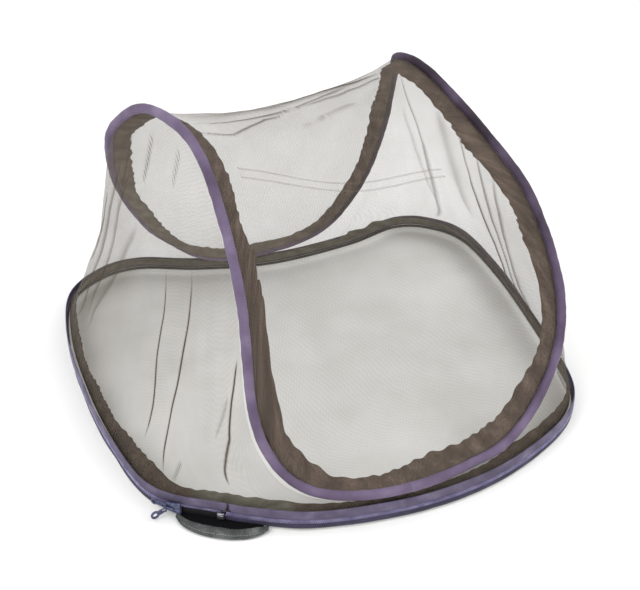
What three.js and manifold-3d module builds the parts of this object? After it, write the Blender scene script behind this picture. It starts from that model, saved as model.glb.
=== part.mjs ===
// Pop-up insect net: a spring-wire dome of sheer net on a shallow zip-round cloth floor.
// Millimetres, +Z up. The origin is on the flat underside of the floor cloth, at its middle.
import * as THREE from 'three';
import { mergeVertices } from 'three/addons/utils/BufferGeometryUtils.js';
import Module from 'manifold-3d';

const wasm = await Module();
wasm.setup();

// Driving dimensions
const CLOTH = 2.0;            // floor cloth, bound double
const NET = 1.0;              // sheer net panels
const STRIP = 1.2;            // seam strips
const TUBE_R = 6.0;           // lilac binding over the spring wire
const GAP = 0.6;              // clearance between touching pieces
const STRIP_LIFT = 2.5;       // seam strip behind its net
const FLOOR_INSET = 18;       // where the floor turns up into its low wall
const WALL_TOP = 9.4;         // top of the cloth wall behind the lower tape
const LOWER_TAPE = { low: 4.0, high: 10.6 };
const CHAIN = { low: 11.0, high: 17.0, depth: 3.2 };
const UPPER_TAPE = { low: 17.4, high: 29.0, lean: 0.4 };
const NET_FOOT = { inset: 2.0, z: 20.5 };
const RING_STRIP_W = 20;
const BASE_STRIP_W = 20;
const STATIONS = 96;          // stations round the base and round the ring
const HALF = STATIONS / 2;
const RIDGE_MID = { x: -29, y: 73 };
const RIDGE_SAG = 33;         // how far the ridge hangs below the line between the peaks
const RIDGE_W = 78;           // the ridge, measured square to its own direction
const RIDGE_TURN = THREE.MathUtils.degToRad(14.7);

// Zip line of the base, seen from above, counter-clockwise from the front middle
const BASE = [
  { x: 0, y: -295 }, { x: 90, y: -288 }, { x: 167, y: -264 }, { x: 240, y: -223 },
  { x: 278, y: -178 }, { x: 293, y: -110 }, { x: 304, y: 0 }, { x: 310, y: 110 },
  { x: 303, y: 215 }, { x: 270, y: 268 }, { x: 215, y: 290 }, { x: 130, y: 264 },
  { x: 5, y: 249 }, { x: -105, y: 268 }, { x: -190, y: 297 }, { x: -250, y: 285 },
  { x: -300, y: 232 }, { x: -316, y: 130 }, { x: -310, y: 6 }, { x: -294, y: -96 },
  { x: -266, y: -185 }, { x: -205, y: -232 }, { x: -110, y: -280 },
];
const BASE_BACK = 12;         // row of BASE at the back middle

// Centre line of the spring-wire ring: one closed saddle, low at front and back, high at both sides
const RING = [
  { x: 10, y: -291, z: 41 }, { x: 80, y: -277, z: 39 }, { x: 144, y: -258, z: 44 },
  { x: 198, y: -224, z: 66 }, { x: 239, y: -188, z: 112 }, { x: 253, y: -152, z: 167 },
  { x: 245, y: -107, z: 234 }, { x: 225, y: -53, z: 290 }, { x: 170, y: 64, z: 363 },
  { x: 142, y: 118, z: 374 }, { x: 149, y: 154, z: 333 }, { x: 152, y: 199, z: 230 },
  { x: 132, y: 230, z: 133 }, { x: 75, y: 238, z: 63 }, { x: -18, y: 238, z: 41 },
  { x: -92, y: 244, z: 43 }, { x: -151, y: 252, z: 80 }, { x: -184, y: 237, z: 124 },
  { x: -220, y: 190, z: 214 }, { x: -233, y: 118, z: 311 }, { x: -224, y: 82, z: 355 },
  { x: -200, y: 28, z: 392 }, { x: -169, y: -35, z: 388 }, { x: -153, y: -89, z: 349 },
  { x: -147, y: -170, z: 257 }, { x: -152, y: -224, z: 144 }, { x: -137, y: -240, z: 82 },
  { x: -107, y: -258, z: 46 }, { x: -59, y: -283, z: 41 },
];
const RING_BACK = 14;         // row of RING at the back middle

// Soft folds of the end panels: where along the ring half, how wide, how deep, from ring (0) to base (1)
const FOLDS_LEFT = [
  { at: 0.74, lean: 0.05, wide: 0.045, deep: -7, from: 0.10, to: 1.0 },
  { at: 0.64, lean: 0.08, wide: 0.040, deep: -6, from: 0.05, to: 0.9 },
  { at: 0.86, lean: -0.02, wide: 0.045, deep: -6, from: 0.15, to: 1.0 },
  { at: 0.45, lean: -0.06, wide: 0.040, deep: -5, from: 0.20, to: 1.0 },
];
const FOLDS_RIGHT = [
  { at: 0.50, lean: -0.02, wide: 0.050, deep: -8, from: 0.05, to: 0.95 },
  { at: 0.40, lean: 0.05, wide: 0.045, deep: -6, from: 0.10, to: 0.90 },
  { at: 0.60, lean: -0.05, wide: 0.045, deep: -5, from: 0.05, to: 0.90 },
];
// Creases of the top panel: turn from the ridge middle (degrees), from and to along it, width, depth
const CREASES_TOP = [
  { turn: -8, from: 0.25, to: 1.0, wide: 6, deep: 5 },
  { turn: -24, from: 0.30, to: 1.0, wide: 5, deep: 5 },
  { turn: 205, from: 0.30, to: 1.0, wide: 6, deep: 4 },
  { turn: 255, from: 0.45, to: 1.0, wide: 5, deep: 4 },
];
// Soft creases of the floor cloth: ends in plan, width and height
const CREASES_FLOOR = [
  { x0: 20, y0: -120, x1: 60, y1: -95, wide: 16, high: 3.0 },
  { x0: -20, y0: -205, x1: 10, y1: -200, wide: 14, high: 2.5 },
  { x0: 110, y0: -130, x1: 190, y1: -110, wide: 16, high: 2.5 },
  { x0: -200, y0: 30, x1: -120, y1: 60, wide: 18, high: 2.5 },
];

const V = (x, y, z) => new THREE.Vector3(x, y, z);
const UP = V(0, 0, 1);

// Closed smooth curve through table rows, measured along its length between two marked rows
class Loop {
  constructor(rows, backRow) {
    const pts = rows.map((r) => V(r.x, r.y, r.z ?? 0));
    this.curve = new THREE.CatmullRomCurve3(pts, true, 'catmullrom', 0.5);
    this.rows = rows.length;
    this.fine = 40;
    const total = this.rows * this.fine;
    this.len = [0];
    let last = this.curve.getPoint(0);
    for (let k = 1; k <= total; k++) {
      const p = this.curve.getPoint(k / total);
      this.len.push(this.len[k - 1] + p.distanceTo(last));
      last = p;
    }
    this.total = this.len[total];
    this.back = this.len[backRow * this.fine];
  }

  // Point at length s from the first row
  at(s) {
    const n = this.len.length - 1;
    const w = ((s % this.total) + this.total) % this.total;
    let lo = 0;
    let hi = n;
    while (hi - lo > 1) {
      const mid = (lo + hi) >> 1;
      if (this.len[mid] <= w) lo = mid;
      else hi = mid;
    }
    const k = (w - this.len[lo]) / (this.len[hi] - this.len[lo]);
    return this.curve.getPoint((lo + k) / n);
  }

  // Length at half number (0 right, 1 left) and fraction f of that half
  length(half, f) {
    return half === 0 ? f * this.back : this.back + f * (this.total - this.back);
  }

  tangent(s) {
    return this.at(s + 1).sub(this.at(s - 1)).normalize();
  }
}

const base = new Loop(BASE, BASE_BACK);
const ring = new Loop(RING, RING_BACK);

// Ring stations run evenly; base stations gather towards the corners so that the net hangs square
const bend = (v) => v + 0.07 * Math.sin(2 * Math.PI * v);
const baseS = [];
const ringS = [];
for (let i = 0; i < STATIONS; i++) {
  const half = i < HALF ? 0 : 1;
  const v = (i % HALF) / HALF;
  baseS.push(base.length(half, bend(v)));
  ringS.push(ring.length(half, v));
}

// Point of the base at length s, moved out by "out" square to the zip line, at height z
function rim(s, out, z) {
  const t = base.tangent(s);
  const p = base.at(s);
  return V(p.x + t.y * out, p.y - t.x * out, z);
}

// Builds one closed body from a list of closed sections of equal size
function loft(sections, closed) {
  const n = sections[0].length;
  const m = sections.length;
  const pos = [];
  const idx = [];
  sections.forEach((s) => s.forEach((p) => pos.push(p.x, p.y, p.z)));
  const last = closed ? m : m - 1;
  for (let i = 0; i < last; i++) {
    for (let j = 0; j < n; j++) {
      const a = i * n + j;
      const b = i * n + ((j + 1) % n);
      const c = ((i + 1) % m) * n + ((j + 1) % n);
      const d = ((i + 1) % m) * n + j;
      idx.push(a, b, c, a, c, d);
    }
  }
  if (!closed) {
    // Ends are closed as a ladder between the two long sides of the section
    for (const [row, flip] of [[0, true], [m - 1, false]]) {
      for (let j = 0; j < n / 2 - 1; j++) {
        const a = row * n + j;
        const b = row * n + j + 1;
        const c = row * n + (n - 2 - j);
        const d = row * n + (n - 1 - j);
        if (flip) idx.push(a, c, b, a, d, c);
        else idx.push(a, b, c, a, c, d);
      }
    }
  }
  return faceOut(body(pos, idx));
}

function body(pos, idx) {
  const g = new THREE.BufferGeometry();
  g.setAttribute('position', new THREE.Float32BufferAttribute(pos, 3));
  g.setIndex(idx);
  return mergeVertices(g, 1e-3);
}

function volume(g) {
  const p = g.attributes.position;
  const ix = g.index.array;
  const a = V(0, 0, 0);
  const b = V(0, 0, 0);
  const c = V(0, 0, 0);
  let sum = 0;
  for (let i = 0; i < ix.length; i += 3) {
    a.fromBufferAttribute(p, ix[i]);
    b.fromBufferAttribute(p, ix[i + 1]);
    c.fromBufferAttribute(p, ix[i + 2]);
    sum += a.dot(b.cross(c)) / 6;
  }
  return sum;
}

function faceOut(g) {
  if (volume(g) < 0) {
    const ix = g.index.array;
    for (let i = 0; i < ix.length; i += 3) {
      const t = ix[i + 1];
      ix[i + 1] = ix[i + 2];
      ix[i + 2] = t;
    }
  }
  return g;
}

// Surface normals of a grid of points; "closed" joins the last row to the first
function gridNormals(grid, closed) {
  const m = grid.length;
  const n = grid[0].length;
  return grid.map((row, i) => row.map((p, j) => {
    const i0 = closed ? (i + m - 1) % m : Math.max(i - 1, 0);
    const i1 = closed ? (i + 1) % m : Math.min(i + 1, m - 1);
    const du = grid[i1][j].clone().sub(grid[i0][j]);
    const dv = grid[i][Math.min(j + 1, n - 1)].clone().sub(grid[i][Math.max(j - 1, 0)]);
    return du.cross(dv).normalize();
  }));
}

// A sheet of even thickness on a grid of points
function sheet(grid, thick, closed) {
  const nrm = gridNormals(grid, closed);
  const n = grid[0].length;
  const sections = grid.map((row, i) => {
    const s = [];
    for (let j = 0; j < n; j++) s.push(row[j].clone().addScaledVector(nrm[i][j], thick / 2));
    for (let j = n - 1; j >= 0; j--) s.push(row[j].clone().addScaledVector(nrm[i][j], -thick / 2));
    return s;
  });
  return loft(sections, closed);
}

// A round sheet: rows run round, columns run in to one middle point
function discSheet(grid, middle, thick) {
  const nrm = gridNormals(grid, true);
  const m = grid.length;
  const n = grid[0].length;
  const sign = nrm[0][n - 1].z > 0 ? 1 : -1;
  const pos = [];
  const idx = [];
  for (const side of [1, -1]) {
    grid.forEach((row, i) => row.forEach((p, j) => {
      const q = p.clone().addScaledVector(nrm[i][j], side * sign * thick / 2);
      pos.push(q.x, q.y, q.z);
    }));
    pos.push(middle.x, middle.y, middle.z + side * thick / 2);
  }
  const half = m * n + 1;
  for (const side of [0, 1]) {
    const o = side * half;
    for (let i = 0; i < m; i++) {
      const k = (i + 1) % m;
      for (let j = 0; j < n - 1; j++) {
        const q = [o + i * n + j, o + i * n + j + 1, o + k * n + j + 1, o + k * n + j];
        if (side === 0) idx.push(q[0], q[1], q[2], q[0], q[2], q[3]);
        else idx.push(q[0], q[2], q[1], q[0], q[3], q[2]);
      }
      const a = o + i * n + n - 1;
      const b = o + k * n + n - 1;
      const c = o + m * n;
      if (side === 0) idx.push(a, c, b);
      else idx.push(a, b, c);
    }
  }
  for (let i = 0; i < m; i++) {
    const k = (i + 1) % m;
    const a = i * n;
    const b = k * n;
    idx.push(a, b, half + b, a, half + b, half + a);
  }
  return faceOut(body(pos, idx));
}

const smooth = (a, b, x) => {
  const t = Math.min(Math.max((x - a) / (b - a), 0), 1);
  return t * t * (3 - 2 * t);
};

// Top panel: net pulled from the left arch to the right arch, parallel to the ridge, with some sag
const turned = (x, y) => ({
  u: x * Math.cos(RIDGE_TURN) + y * Math.sin(RIDGE_TURN),
  w: y * Math.cos(RIDGE_TURN) - x * Math.sin(RIDGE_TURN),
});
const fineRing = [];
const ringPoints = [];
for (let k = 0; k < ring.rows * ring.fine; k++) {
  const p = ring.curve.getPoint(k / (ring.rows * ring.fine));
  ringPoints.push(p);
  fineRing.push({ ...turned(p.x, p.y), z: p.z });
}
const iFront = fineRing.reduce((m, p, k) => (p.w < fineRing[m].w ? k : m), 0);
const iBack = fineRing.reduce((m, p, k) => (p.w > fineRing[m].w ? k : m), 0);
const arch = (from, to) => {
  const list = [];
  for (let k = from; ; k = (k + 1) % fineRing.length) {
    list.push(fineRing[k]);
    if (k === to) break;
  }
  return list.sort((a, b) => a.w - b.w);
};
const archRight = arch(iFront, iBack);
const archLeft = arch(iBack, iFront);
function crossing(side, w) {
  let lo = 0;
  let hi = side.length - 1;
  while (hi - lo > 1) {
    const mid = (lo + hi) >> 1;
    if (side[mid].w <= w) lo = mid;
    else hi = mid;
  }
  const k = Math.min(Math.max((w - side[lo].w) / (side[hi].w - side[lo].w), 0), 1);
  return { u: side[lo].u + k * (side[hi].u - side[lo].u), z: side[lo].z + k * (side[hi].z - side[lo].z) };
}
function topHeight(x, y) {
  const { u, w } = turned(x, y);
  const l = crossing(archLeft, w);
  const r = crossing(archRight, w);
  const s = Math.min(Math.max((u - l.u) / Math.max(r.u - l.u, 1), 0), 1);
  const reach = w < RIDGE_W ? RIDGE_W - archRight[0].w : archRight[archRight.length - 1].w - RIDGE_W;
  const near = Math.cos(0.5 * Math.PI * Math.min(Math.abs(w - RIDGE_W) / reach, 1));
  return l.z + (r.z - l.z) * s - RIDGE_SAG * near * 4 * s * (1 - s);
}
const slope = (p, q, t) => q.clone().sub(p).dot(t) / q.distanceTo(p);
function topPoint(i, r) {
  const e = ring.at(ringS[i]);
  const x = RIDGE_MID.x + (e.x - RIDGE_MID.x) * r;
  const y = RIDGE_MID.y + (e.y - RIDGE_MID.y) * r;
  const p = V(x, y, topHeight(x, y));
  const deg = THREE.MathUtils.radToDeg(Math.atan2(e.y - RIDGE_MID.y, e.x - RIDGE_MID.x));
  for (const c of CREASES_TOP) {
    let d = deg - c.turn;
    d -= 360 * Math.round(d / 360);
    const fade = smooth(c.from, c.from + 0.25, r) * (1 - smooth(0.75, 0.90, r));
    p.z -= c.deep * fade * Math.exp(-((d / c.wide) ** 2));
  }
  return p;
}
// Shortest way from a point to the centre line of the ring
function ringDistance(p) {
  let best = Infinity;
  for (const q of ringPoints) best = Math.min(best, q.distanceToSquared(p));
  return Math.sqrt(best);
}
// Fraction of the panel, from the ring (1) inwards, where it clears the ring's centre line by "dist"
function topStart(i, dist) {
  let r = 1;
  while (r > 0.5 && ringDistance(topPoint(i, r)) < dist) r -= 0.002;
  return r;
}
const stripWave = (i, a, b) => 1 + 0.12 * Math.sin(a * i * 0.37 + b) + 0.08 * Math.sin(i * 0.91 * a + 2 * b);
const TOP_ROWS = [0, 0.13, 0.28, 0.45, 0.62, 0.79, 0.91];
const topGrid = [];
for (let i = 0; i < STATIONS; i++) {
  const start = topStart(i, TUBE_R + NET / 2 + GAP);
  const free = topStart(i, TUBE_R + NET / 2 + GAP + RING_STRIP_W * stripWave(i, 1.0, 0.4));
  topGrid.push([topPoint(i, start), ...TOP_ROWS.map((k) => topPoint(i, free * (1 - k)))]);
}

// Ring seam strip: lies inside the tent, just under the edge of the top panel
const topNormals = gridNormals(topGrid, true);
const ringStrip = topGrid.map((row, i) => {
  const n = topNormals[i].slice(0, 2).map((v) => (v.z > 0 ? v.clone().negate() : v.clone()));
  const edge = (k) => row[0].clone().lerp(row[1], k).addScaledVector(n[0], STRIP_LIFT);
  let k = 0.04;
  while (k < 0.6 && ringDistance(edge(k)) < TUBE_R + STRIP / 2 + 0.7) k += 0.02;
  return [edge(k), row[1].clone().addScaledVector(n[1], STRIP_LIFT)];
});

// End panels: from the ring down and out to the zip, with soft folds
function foot(i) {
  return rim(baseS[i], -NET_FOOT.inset, NET_FOOT.z);
}
function endPoint(i, t) {
  const k = ((i % STATIONS) + STATIONS) % STATIONS;
  const a = ring.at(ringS[k]);
  const b = foot(k);
  const p = a.clone().lerp(b, t);
  const span = a.distanceTo(b);
  const out = rim(baseS[k], 1, 0).sub(rim(baseS[k], 0, 0));
  const across = b.clone().sub(a).cross(UP);
  const n = across.cross(b.clone().sub(a)).normalize();
  if (n.dot(out) < 0) n.negate();
  const half = k < HALF ? 0 : 1;
  const v = (k % HALF) / HALF;
  const size = smooth(40, 220, span);
  p.addScaledVector(n, -0.03 * span * Math.sin(Math.PI * t) * size);
  for (const f of half === 0 ? FOLDS_RIGHT : FOLDS_LEFT) {
    const d = (v - f.at - f.lean * t) / f.wide;
    const fade = smooth(f.from, f.from + 0.3, t) * (1 - smooth(f.to - 0.2, f.to, t));
    p.addScaledVector(n, f.deep * size * fade * Math.exp(-d * d));
  }
  return p;
}
function endInset(i, dist) {
  const k = i % STATIONS;
  const a = ring.at(ringS[k]);
  const b = foot(k);
  const cosA = slope(a, b, ring.tangent(ringS[k]));
  const sinA = Math.sqrt(Math.max(1 - cosA * cosA, 0.05));
  return dist / sinA / a.distanceTo(b);
}
const END_ROWS = [0, 0.15, 0.34, 0.55, 0.78, 1];
const endRows = [];
for (let i = 0; i < STATIONS; i++) {
  const start = endInset(i, TUBE_R + NET / 2 + GAP);
  const span = ring.at(ringS[i]).distanceTo(foot(i));
  const free = 1 - Math.min(BASE_STRIP_W * stripWave(i, 0.8, 1.7) / span, 1 - endInset(i, TUBE_R + 4));
  endRows.push([...END_ROWS.map((e) => endPoint(i, start + (free - start) * e)), endPoint(i, 1)]);
}
const endNormals = gridNormals(endRows, true);
// Each end panel runs over half the ring, with a small seam gap at the front and back middle
function endGrid(first) {
  const grid = [];
  for (let k = 0; k <= HALF; k++) {
    const row = endRows[(first + k) % STATIONS].map((p) => p.clone());
    if (k === 0 || k === HALF) {
      const beside = endRows[(first + (k === 0 ? 1 : HALF - 1)) % STATIONS];
      row.forEach((p, c) => p.lerp(beside[c], 0.6 / Math.max(p.distanceTo(beside[c]), 5)));
    }
    grid.push(row);
  }
  return grid;
}

// Base seam strip: stands inside the end panels, above the zip
const baseStrip = endRows.map((row, i) => {
  const out = rim(baseS[i], 1, 0).sub(rim(baseS[i], 0, 0));
  return [row.length - 1, row.length - 2].map((c) => {
    const n = endNormals[i][c].clone();
    if (n.dot(out) > 0) n.negate();
    return row[c].clone().addScaledVector(n, STRIP_LIFT);
  });
});

// Floor cloth: flat underside, turning up into a low wall behind the lower tape
function floorLift(x, y) {
  let h = 0;
  for (const c of CREASES_FLOOR) {
    const dx = c.x1 - c.x0;
    const dy = c.y1 - c.y0;
    const k = Math.min(Math.max(((x - c.x0) * dx + (y - c.y0) * dy) / (dx * dx + dy * dy), 0), 1);
    const d = Math.hypot(x - c.x0 - dx * k, y - c.y0 - dy * k);
    h += c.high * Math.exp(-((d / c.wide) ** 2));
  }
  return h;
}
const FLOOR_ROWS = [0.94, 0.82, 0.68, 0.52, 0.34, 0.16];
const floorGrid = [];
for (let i = 0; i < STATIONS; i++) {
  const row = [
    rim(baseS[i], -2.2, WALL_TOP),
    rim(baseS[i], -2.2, 5.0),
    rim(baseS[i], -6.0, 2.0),
    rim(baseS[i], -FLOOR_INSET, CLOTH / 2),
  ];
  const e = rim(baseS[i], -FLOOR_INSET, 0);
  for (const r of FLOOR_ROWS) {
    row.push(V(e.x * r, e.y * r, CLOTH / 2 + floorLift(e.x * r, e.y * r)));
  }
  floorGrid.push(row);
}

// Zip: lower tape, closed coil chain, upper tape, box end, slider with two pulls
function bandSections(list, corners) {
  return list.map((s) => corners.map((c) => rim(s, c.out, c.z)));
}
const lowerTape = bandSections(baseS, [
  { out: -0.5, z: LOWER_TAPE.low }, { out: 0.7, z: LOWER_TAPE.low },
  { out: 0.7, z: LOWER_TAPE.high }, { out: -0.5, z: LOWER_TAPE.high },
]);
const upperTape = bandSections(baseS, [
  { out: -0.6, z: UPPER_TAPE.low }, { out: 0.6, z: UPPER_TAPE.low },
  { out: 0.6 - UPPER_TAPE.lean, z: UPPER_TAPE.high }, { out: -0.6 - UPPER_TAPE.lean, z: UPPER_TAPE.high },
]);

// Length along the base nearest to a plan point
function nearest(x, y) {
  let best = 0;
  let far = Infinity;
  for (let s = 0; s < base.total; s += 0.5) {
    const p = base.at(s);
    const d = Math.hypot(p.x - x, p.y - y);
    if (d < far) {
      far = d;
      best = s;
    }
  }
  return best;
}
const HANDLE_AT = nearest(-237, -211);
const SLIDER_AT = HANDLE_AT - 7.5;
const BOX_AT = nearest(-197, -239);
const SLIDER = { long: 21, high: 15, plate: 3.2, off: 2.4 };
const chainCorners = (low, high) => [
  { out: -CHAIN.depth / 2, z: low }, { out: CHAIN.depth / 2, z: low },
  { out: CHAIN.depth / 2, z: high }, { out: -CHAIN.depth / 2, z: high },
];
// Chain rows between two lengths, with the shared stations in between
function stretch(from, to) {
  const list = [from];
  const all = [...baseS, ...baseS.map((s) => s + base.total)];
  all.filter((s) => s > from + 4 && s < to - 4).forEach((s) => list.push(s));
  list.push(to);
  return list;
}
const chainLong = bandSections(
  stretch(BOX_AT + 5.5, SLIDER_AT + base.total - 4),
  chainCorners(CHAIN.low, CHAIN.high),
);
const chainOpen = bandSections(
  stretch(SLIDER_AT + 4, BOX_AT - 0.5),
  chainCorners(CHAIN.low + 3.2, CHAIN.high),
);

function solid(geo) {
  let g = geo.clone();
  g.deleteAttribute('normal');
  if (g.attributes.uv) g.deleteAttribute('uv');
  g = mergeVertices(g, 1e-3);
  return new wasm.Manifold(new wasm.Mesh({
    numProp: 3,
    vertProperties: g.attributes.position.array,
    triVerts: new Uint32Array(g.index.array),
  }));
}
function geometry(man) {
  const m = man.getMesh();
  return body(Array.from(m.vertProperties), Array.from(m.triVerts));
}
// A box placed by the middle of its local x (along the zip), y (out) and z (up)
function box(l, w, h, x, y, z) {
  return new THREE.BoxGeometry(l, w, h).translate(x, y, z);
}
// Moves a local piece (x along the zip, y out, z up) to length s of the base
function seat(g, s, turnX = 0) {
  const t = base.tangent(s);
  const o = V(t.y, -t.x, 0);
  const p = base.at(s);
  if (turnX) g.rotateX(turnX);
  const m = new THREE.Matrix4().makeBasis(t, o, UP.clone());
  m.setPosition(p.x, p.y, 0);
  g.applyMatrix4(m);
  return faceOut(g);
}

const plateY = SLIDER.off + SLIDER.plate / 2;
const midZ = (CHAIN.low + CHAIN.high) / 2;
const shield = new THREE.Shape();
shield.moveTo(-SLIDER.long / 2, -SLIDER.high * 0.30);
shield.lineTo(-SLIDER.long / 2 + 4, -SLIDER.high / 2);
shield.lineTo(SLIDER.long / 2, -SLIDER.high / 2);
shield.lineTo(SLIDER.long / 2, SLIDER.high / 2);
shield.lineTo(-SLIDER.long / 2 + 4, SLIDER.high / 2);
shield.lineTo(-SLIDER.long / 2, SLIDER.high * 0.30);
shield.closePath();
const front = new THREE.ExtrudeGeometry(shield, {
  depth: SLIDER.plate, bevelEnabled: true, bevelSize: 0.6, bevelThickness: 0.6, bevelSegments: 1, steps: 1,
}).rotateX(Math.PI / 2).translate(0, SLIDER.off + SLIDER.plate + 0.6, midZ);
const neck = box(4, SLIDER.off + 3.6, 4.4, 0, (SLIDER.off - 1.4) / 2, midZ);
const backPlate = box(11, 1.2, 7, 0.5, -2.75, midZ + 0.2);
const bridge = box(10, 2.6, 3, -2, plateY + SLIDER.plate / 2 + 1.2, midZ);
const sliderGeo = geometry(solid(front).add(solid(neck)).add(solid(backPlate)).add(solid(bridge)));

// A flat pull tab with a round hole, drawn along -x from its hinge end
function pullShape(len, wide, hole) {
  const s = new THREE.Shape();
  s.moveTo(0, -wide * 0.30);
  s.lineTo(0, wide * 0.30);
  s.lineTo(-len + wide * 0.62, wide * 0.40);
  s.absarc(-len + wide / 2, 0, wide / 2, Math.PI * 0.65, Math.PI * 1.35, false);
  s.lineTo(0, -wide * 0.30);
  const h = new THREE.Path();
  h.absarc(-len + wide / 2, 0, hole / 2, 0, Math.PI * 2, true);
  s.holes.push(h);
  return new THREE.ExtrudeGeometry(s, { depth: 1.6, bevelEnabled: false, curveSegments: 10, steps: 1 });
}
const PULL_OUT = SLIDER.off + SLIDER.plate + 0.6 + 3.2;
// Tilt raises the eye and swing turns it in towards the zip, both in degrees
function pullAt(geo, tilt, swing, x, y, z) {
  const g = geo.clone();
  g.deleteAttribute('normal');
  g.deleteAttribute('uv');
  g.rotateX(Math.PI / 2);
  g.rotateY(THREE.MathUtils.degToRad(tilt));
  g.rotateZ(THREE.MathUtils.degToRad(swing));
  g.translate(x, y, z);
  return mergeVertices(g, 1e-3);
}
const pullUpper = pullAt(pullShape(17.5, 9, 5), 9, 4.6, -7.6, PULL_OUT + 0.2, midZ + 4);
const pullLower = pullAt(pullShape(17.5, 10.5, 5.6), -11.5, -50, -7.5, PULL_OUT - 0.7, midZ - 3.2);

const boxEnd = box(8, 3, 8, 0, 3.6, 12.5);

// Handle: a bound D of cloth under the zip, with black webbing folded inside.
// "along" runs along the zip from HANDLE_AT, "out" square to it; the D has an outer and an inner edge
const GRIP = [
  { along: -3, out: 8, z: 3.2, inner: 1.4, innerZ: 4.8 },
  { along: 8, out: 18, z: 2.2, inner: 9, innerZ: 4.4 },
  { along: 26, out: 25, z: 1.6, inner: 14, innerZ: 5.4 },
  { along: 48, out: 27, z: 1.6, inner: 14.5, innerZ: 5.2 },
  { along: 70, out: 25, z: 1.6, inner: 13.5, innerZ: 5.2 },
  { along: 90, out: 18, z: 2.0, inner: 9.5, innerZ: 5.6 },
  { along: 104, out: 7, z: 4.2, inner: 1.4, innerZ: 5.8 },
];
const WEBBING = [
  { along: 12, out: 3.0, wide: 3.4, z: 5.6 }, { along: 28, out: 6.8, wide: 8.0, z: 5.0 },
  { along: 48, out: 7.2, wide: 8.8, z: 5.0 }, { along: 68, out: 6.6, wide: 7.6, z: 5.0 },
  { along: 88, out: 3.0, wide: 3.4, z: 5.6 },
];
const openCurve = (pts) => new THREE.CatmullRomCurve3(pts, false, 'catmullrom', 0.5);
const gripOuter = openCurve(GRIP.map((g) => rim(HANDLE_AT + g.along, g.out, g.z)));
const gripInner = openCurve(GRIP.map((g) => rim(HANDLE_AT + g.along, g.inner, g.innerZ)));
const gripGrid = [];
for (let k = 0; k <= 24; k++) {
  const a = gripOuter.getPoint(k / 24);
  const b = gripInner.getPoint(k / 24);
  const mid = a.clone().lerp(b, 0.5);
  mid.z += 1.3 * Math.sin((Math.PI * k) / 24);
  gripGrid.push([a, mid, b]);
}
const webOuter = openCurve(WEBBING.map((g) => rim(HANDLE_AT + g.along, g.out + g.wide / 2, g.z)));
const webInner = openCurve(WEBBING.map((g) => rim(HANDLE_AT + g.along, g.out - g.wide / 2, g.z)));
const webGrid = [];
for (let k = 0; k <= 12; k++) webGrid.push([webOuter.getPoint(k / 12), webInner.getPoint(k / 12)]);

// Ring binding: a round tube closed on itself, square to the wire
const RING_SIDES = 8;
const tube = [];
for (let i = 0; i < STATIONS; i++) {
  const c = ring.at(ringS[i]);
  const t = ring.tangent(ringS[i]);
  const e = topPoint(i, 0.97).sub(c);
  e.addScaledVector(t, -e.dot(t)).normalize();
  const f = t.clone().cross(e);
  const s = [];
  for (let k = 0; k < RING_SIDES; k++) {
    const a = (2 * Math.PI * k) / RING_SIDES;
    s.push(c.clone().addScaledVector(e, TUBE_R * Math.cos(a)).addScaledVector(f, TUBE_R * Math.sin(a)));
  }
  tube.push(s);
}

function metal(color, roughness, metalness) {
  return new THREE.MeshStandardMaterial({ color, roughness, metalness });
}
const cloth = (color) => metal(color, 0.9, 0);
const netCloth = cloth(0xa8a49a);
const lilac = cloth(0x7c7399);
const taupe = cloth(0x6b6258);

const group = new THREE.Group();
function add(name, geo, material) {
  const mesh = new THREE.Mesh(geo, material);
  mesh.name = name;
  group.add(mesh);
}

add('floor_tray', discSheet(floorGrid, V(0, 0, CLOTH / 2), CLOTH), cloth(0xd2d3d0));
add('zip_lower_tape', loft(lowerTape, true), cloth(0x5a5470));
add('zip_chain', loft(chainLong, false), metal(0x6f6790, 0.6, 0));
add('zip_chain_open', loft(chainOpen, false), metal(0x6f6790, 0.6, 0));
add('zip_upper_tape', loft(upperTape, true), lilac);
add('zip_box', seat(boxEnd, BOX_AT), metal(0xb8b8bc, 0.35, 0.8));
add('zip_slider', seat(sliderGeo, SLIDER_AT), metal(0x6a7090, 0.4, 0.6));
add('zip_pull_upper', seat(pullUpper, SLIDER_AT), metal(0x6a6a8c, 0.4, 0.6));
add('zip_pull_lower', seat(pullLower, SLIDER_AT), metal(0x6a6a8c, 0.4, 0.6));
add('base_seam_strip', sheet(baseStrip, STRIP, true), taupe);
add('ring_binding', loft(tube, true), cloth(0x6e5f82));
add('ring_seam_strip', sheet(ringStrip, STRIP, true), taupe);
const topMiddle = V(RIDGE_MID.x, RIDGE_MID.y, topHeight(RIDGE_MID.x, RIDGE_MID.y));
add('net_top', discSheet(topGrid, topMiddle, NET), netCloth);
add('net_right', sheet(endGrid(0), NET, false), netCloth);
add('net_left', sheet(endGrid(HALF), NET, false), netCloth);
add('handle_grip', sheet(gripGrid, 1.6, false), cloth(0x6e7370));
add('handle_webbing', sheet(webGrid, 1.6, false), cloth(0x17181a));

export default group;
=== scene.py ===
import math

import bmesh
import bpy
import numpy as np
from mathutils import Matrix, Vector, noise


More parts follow.
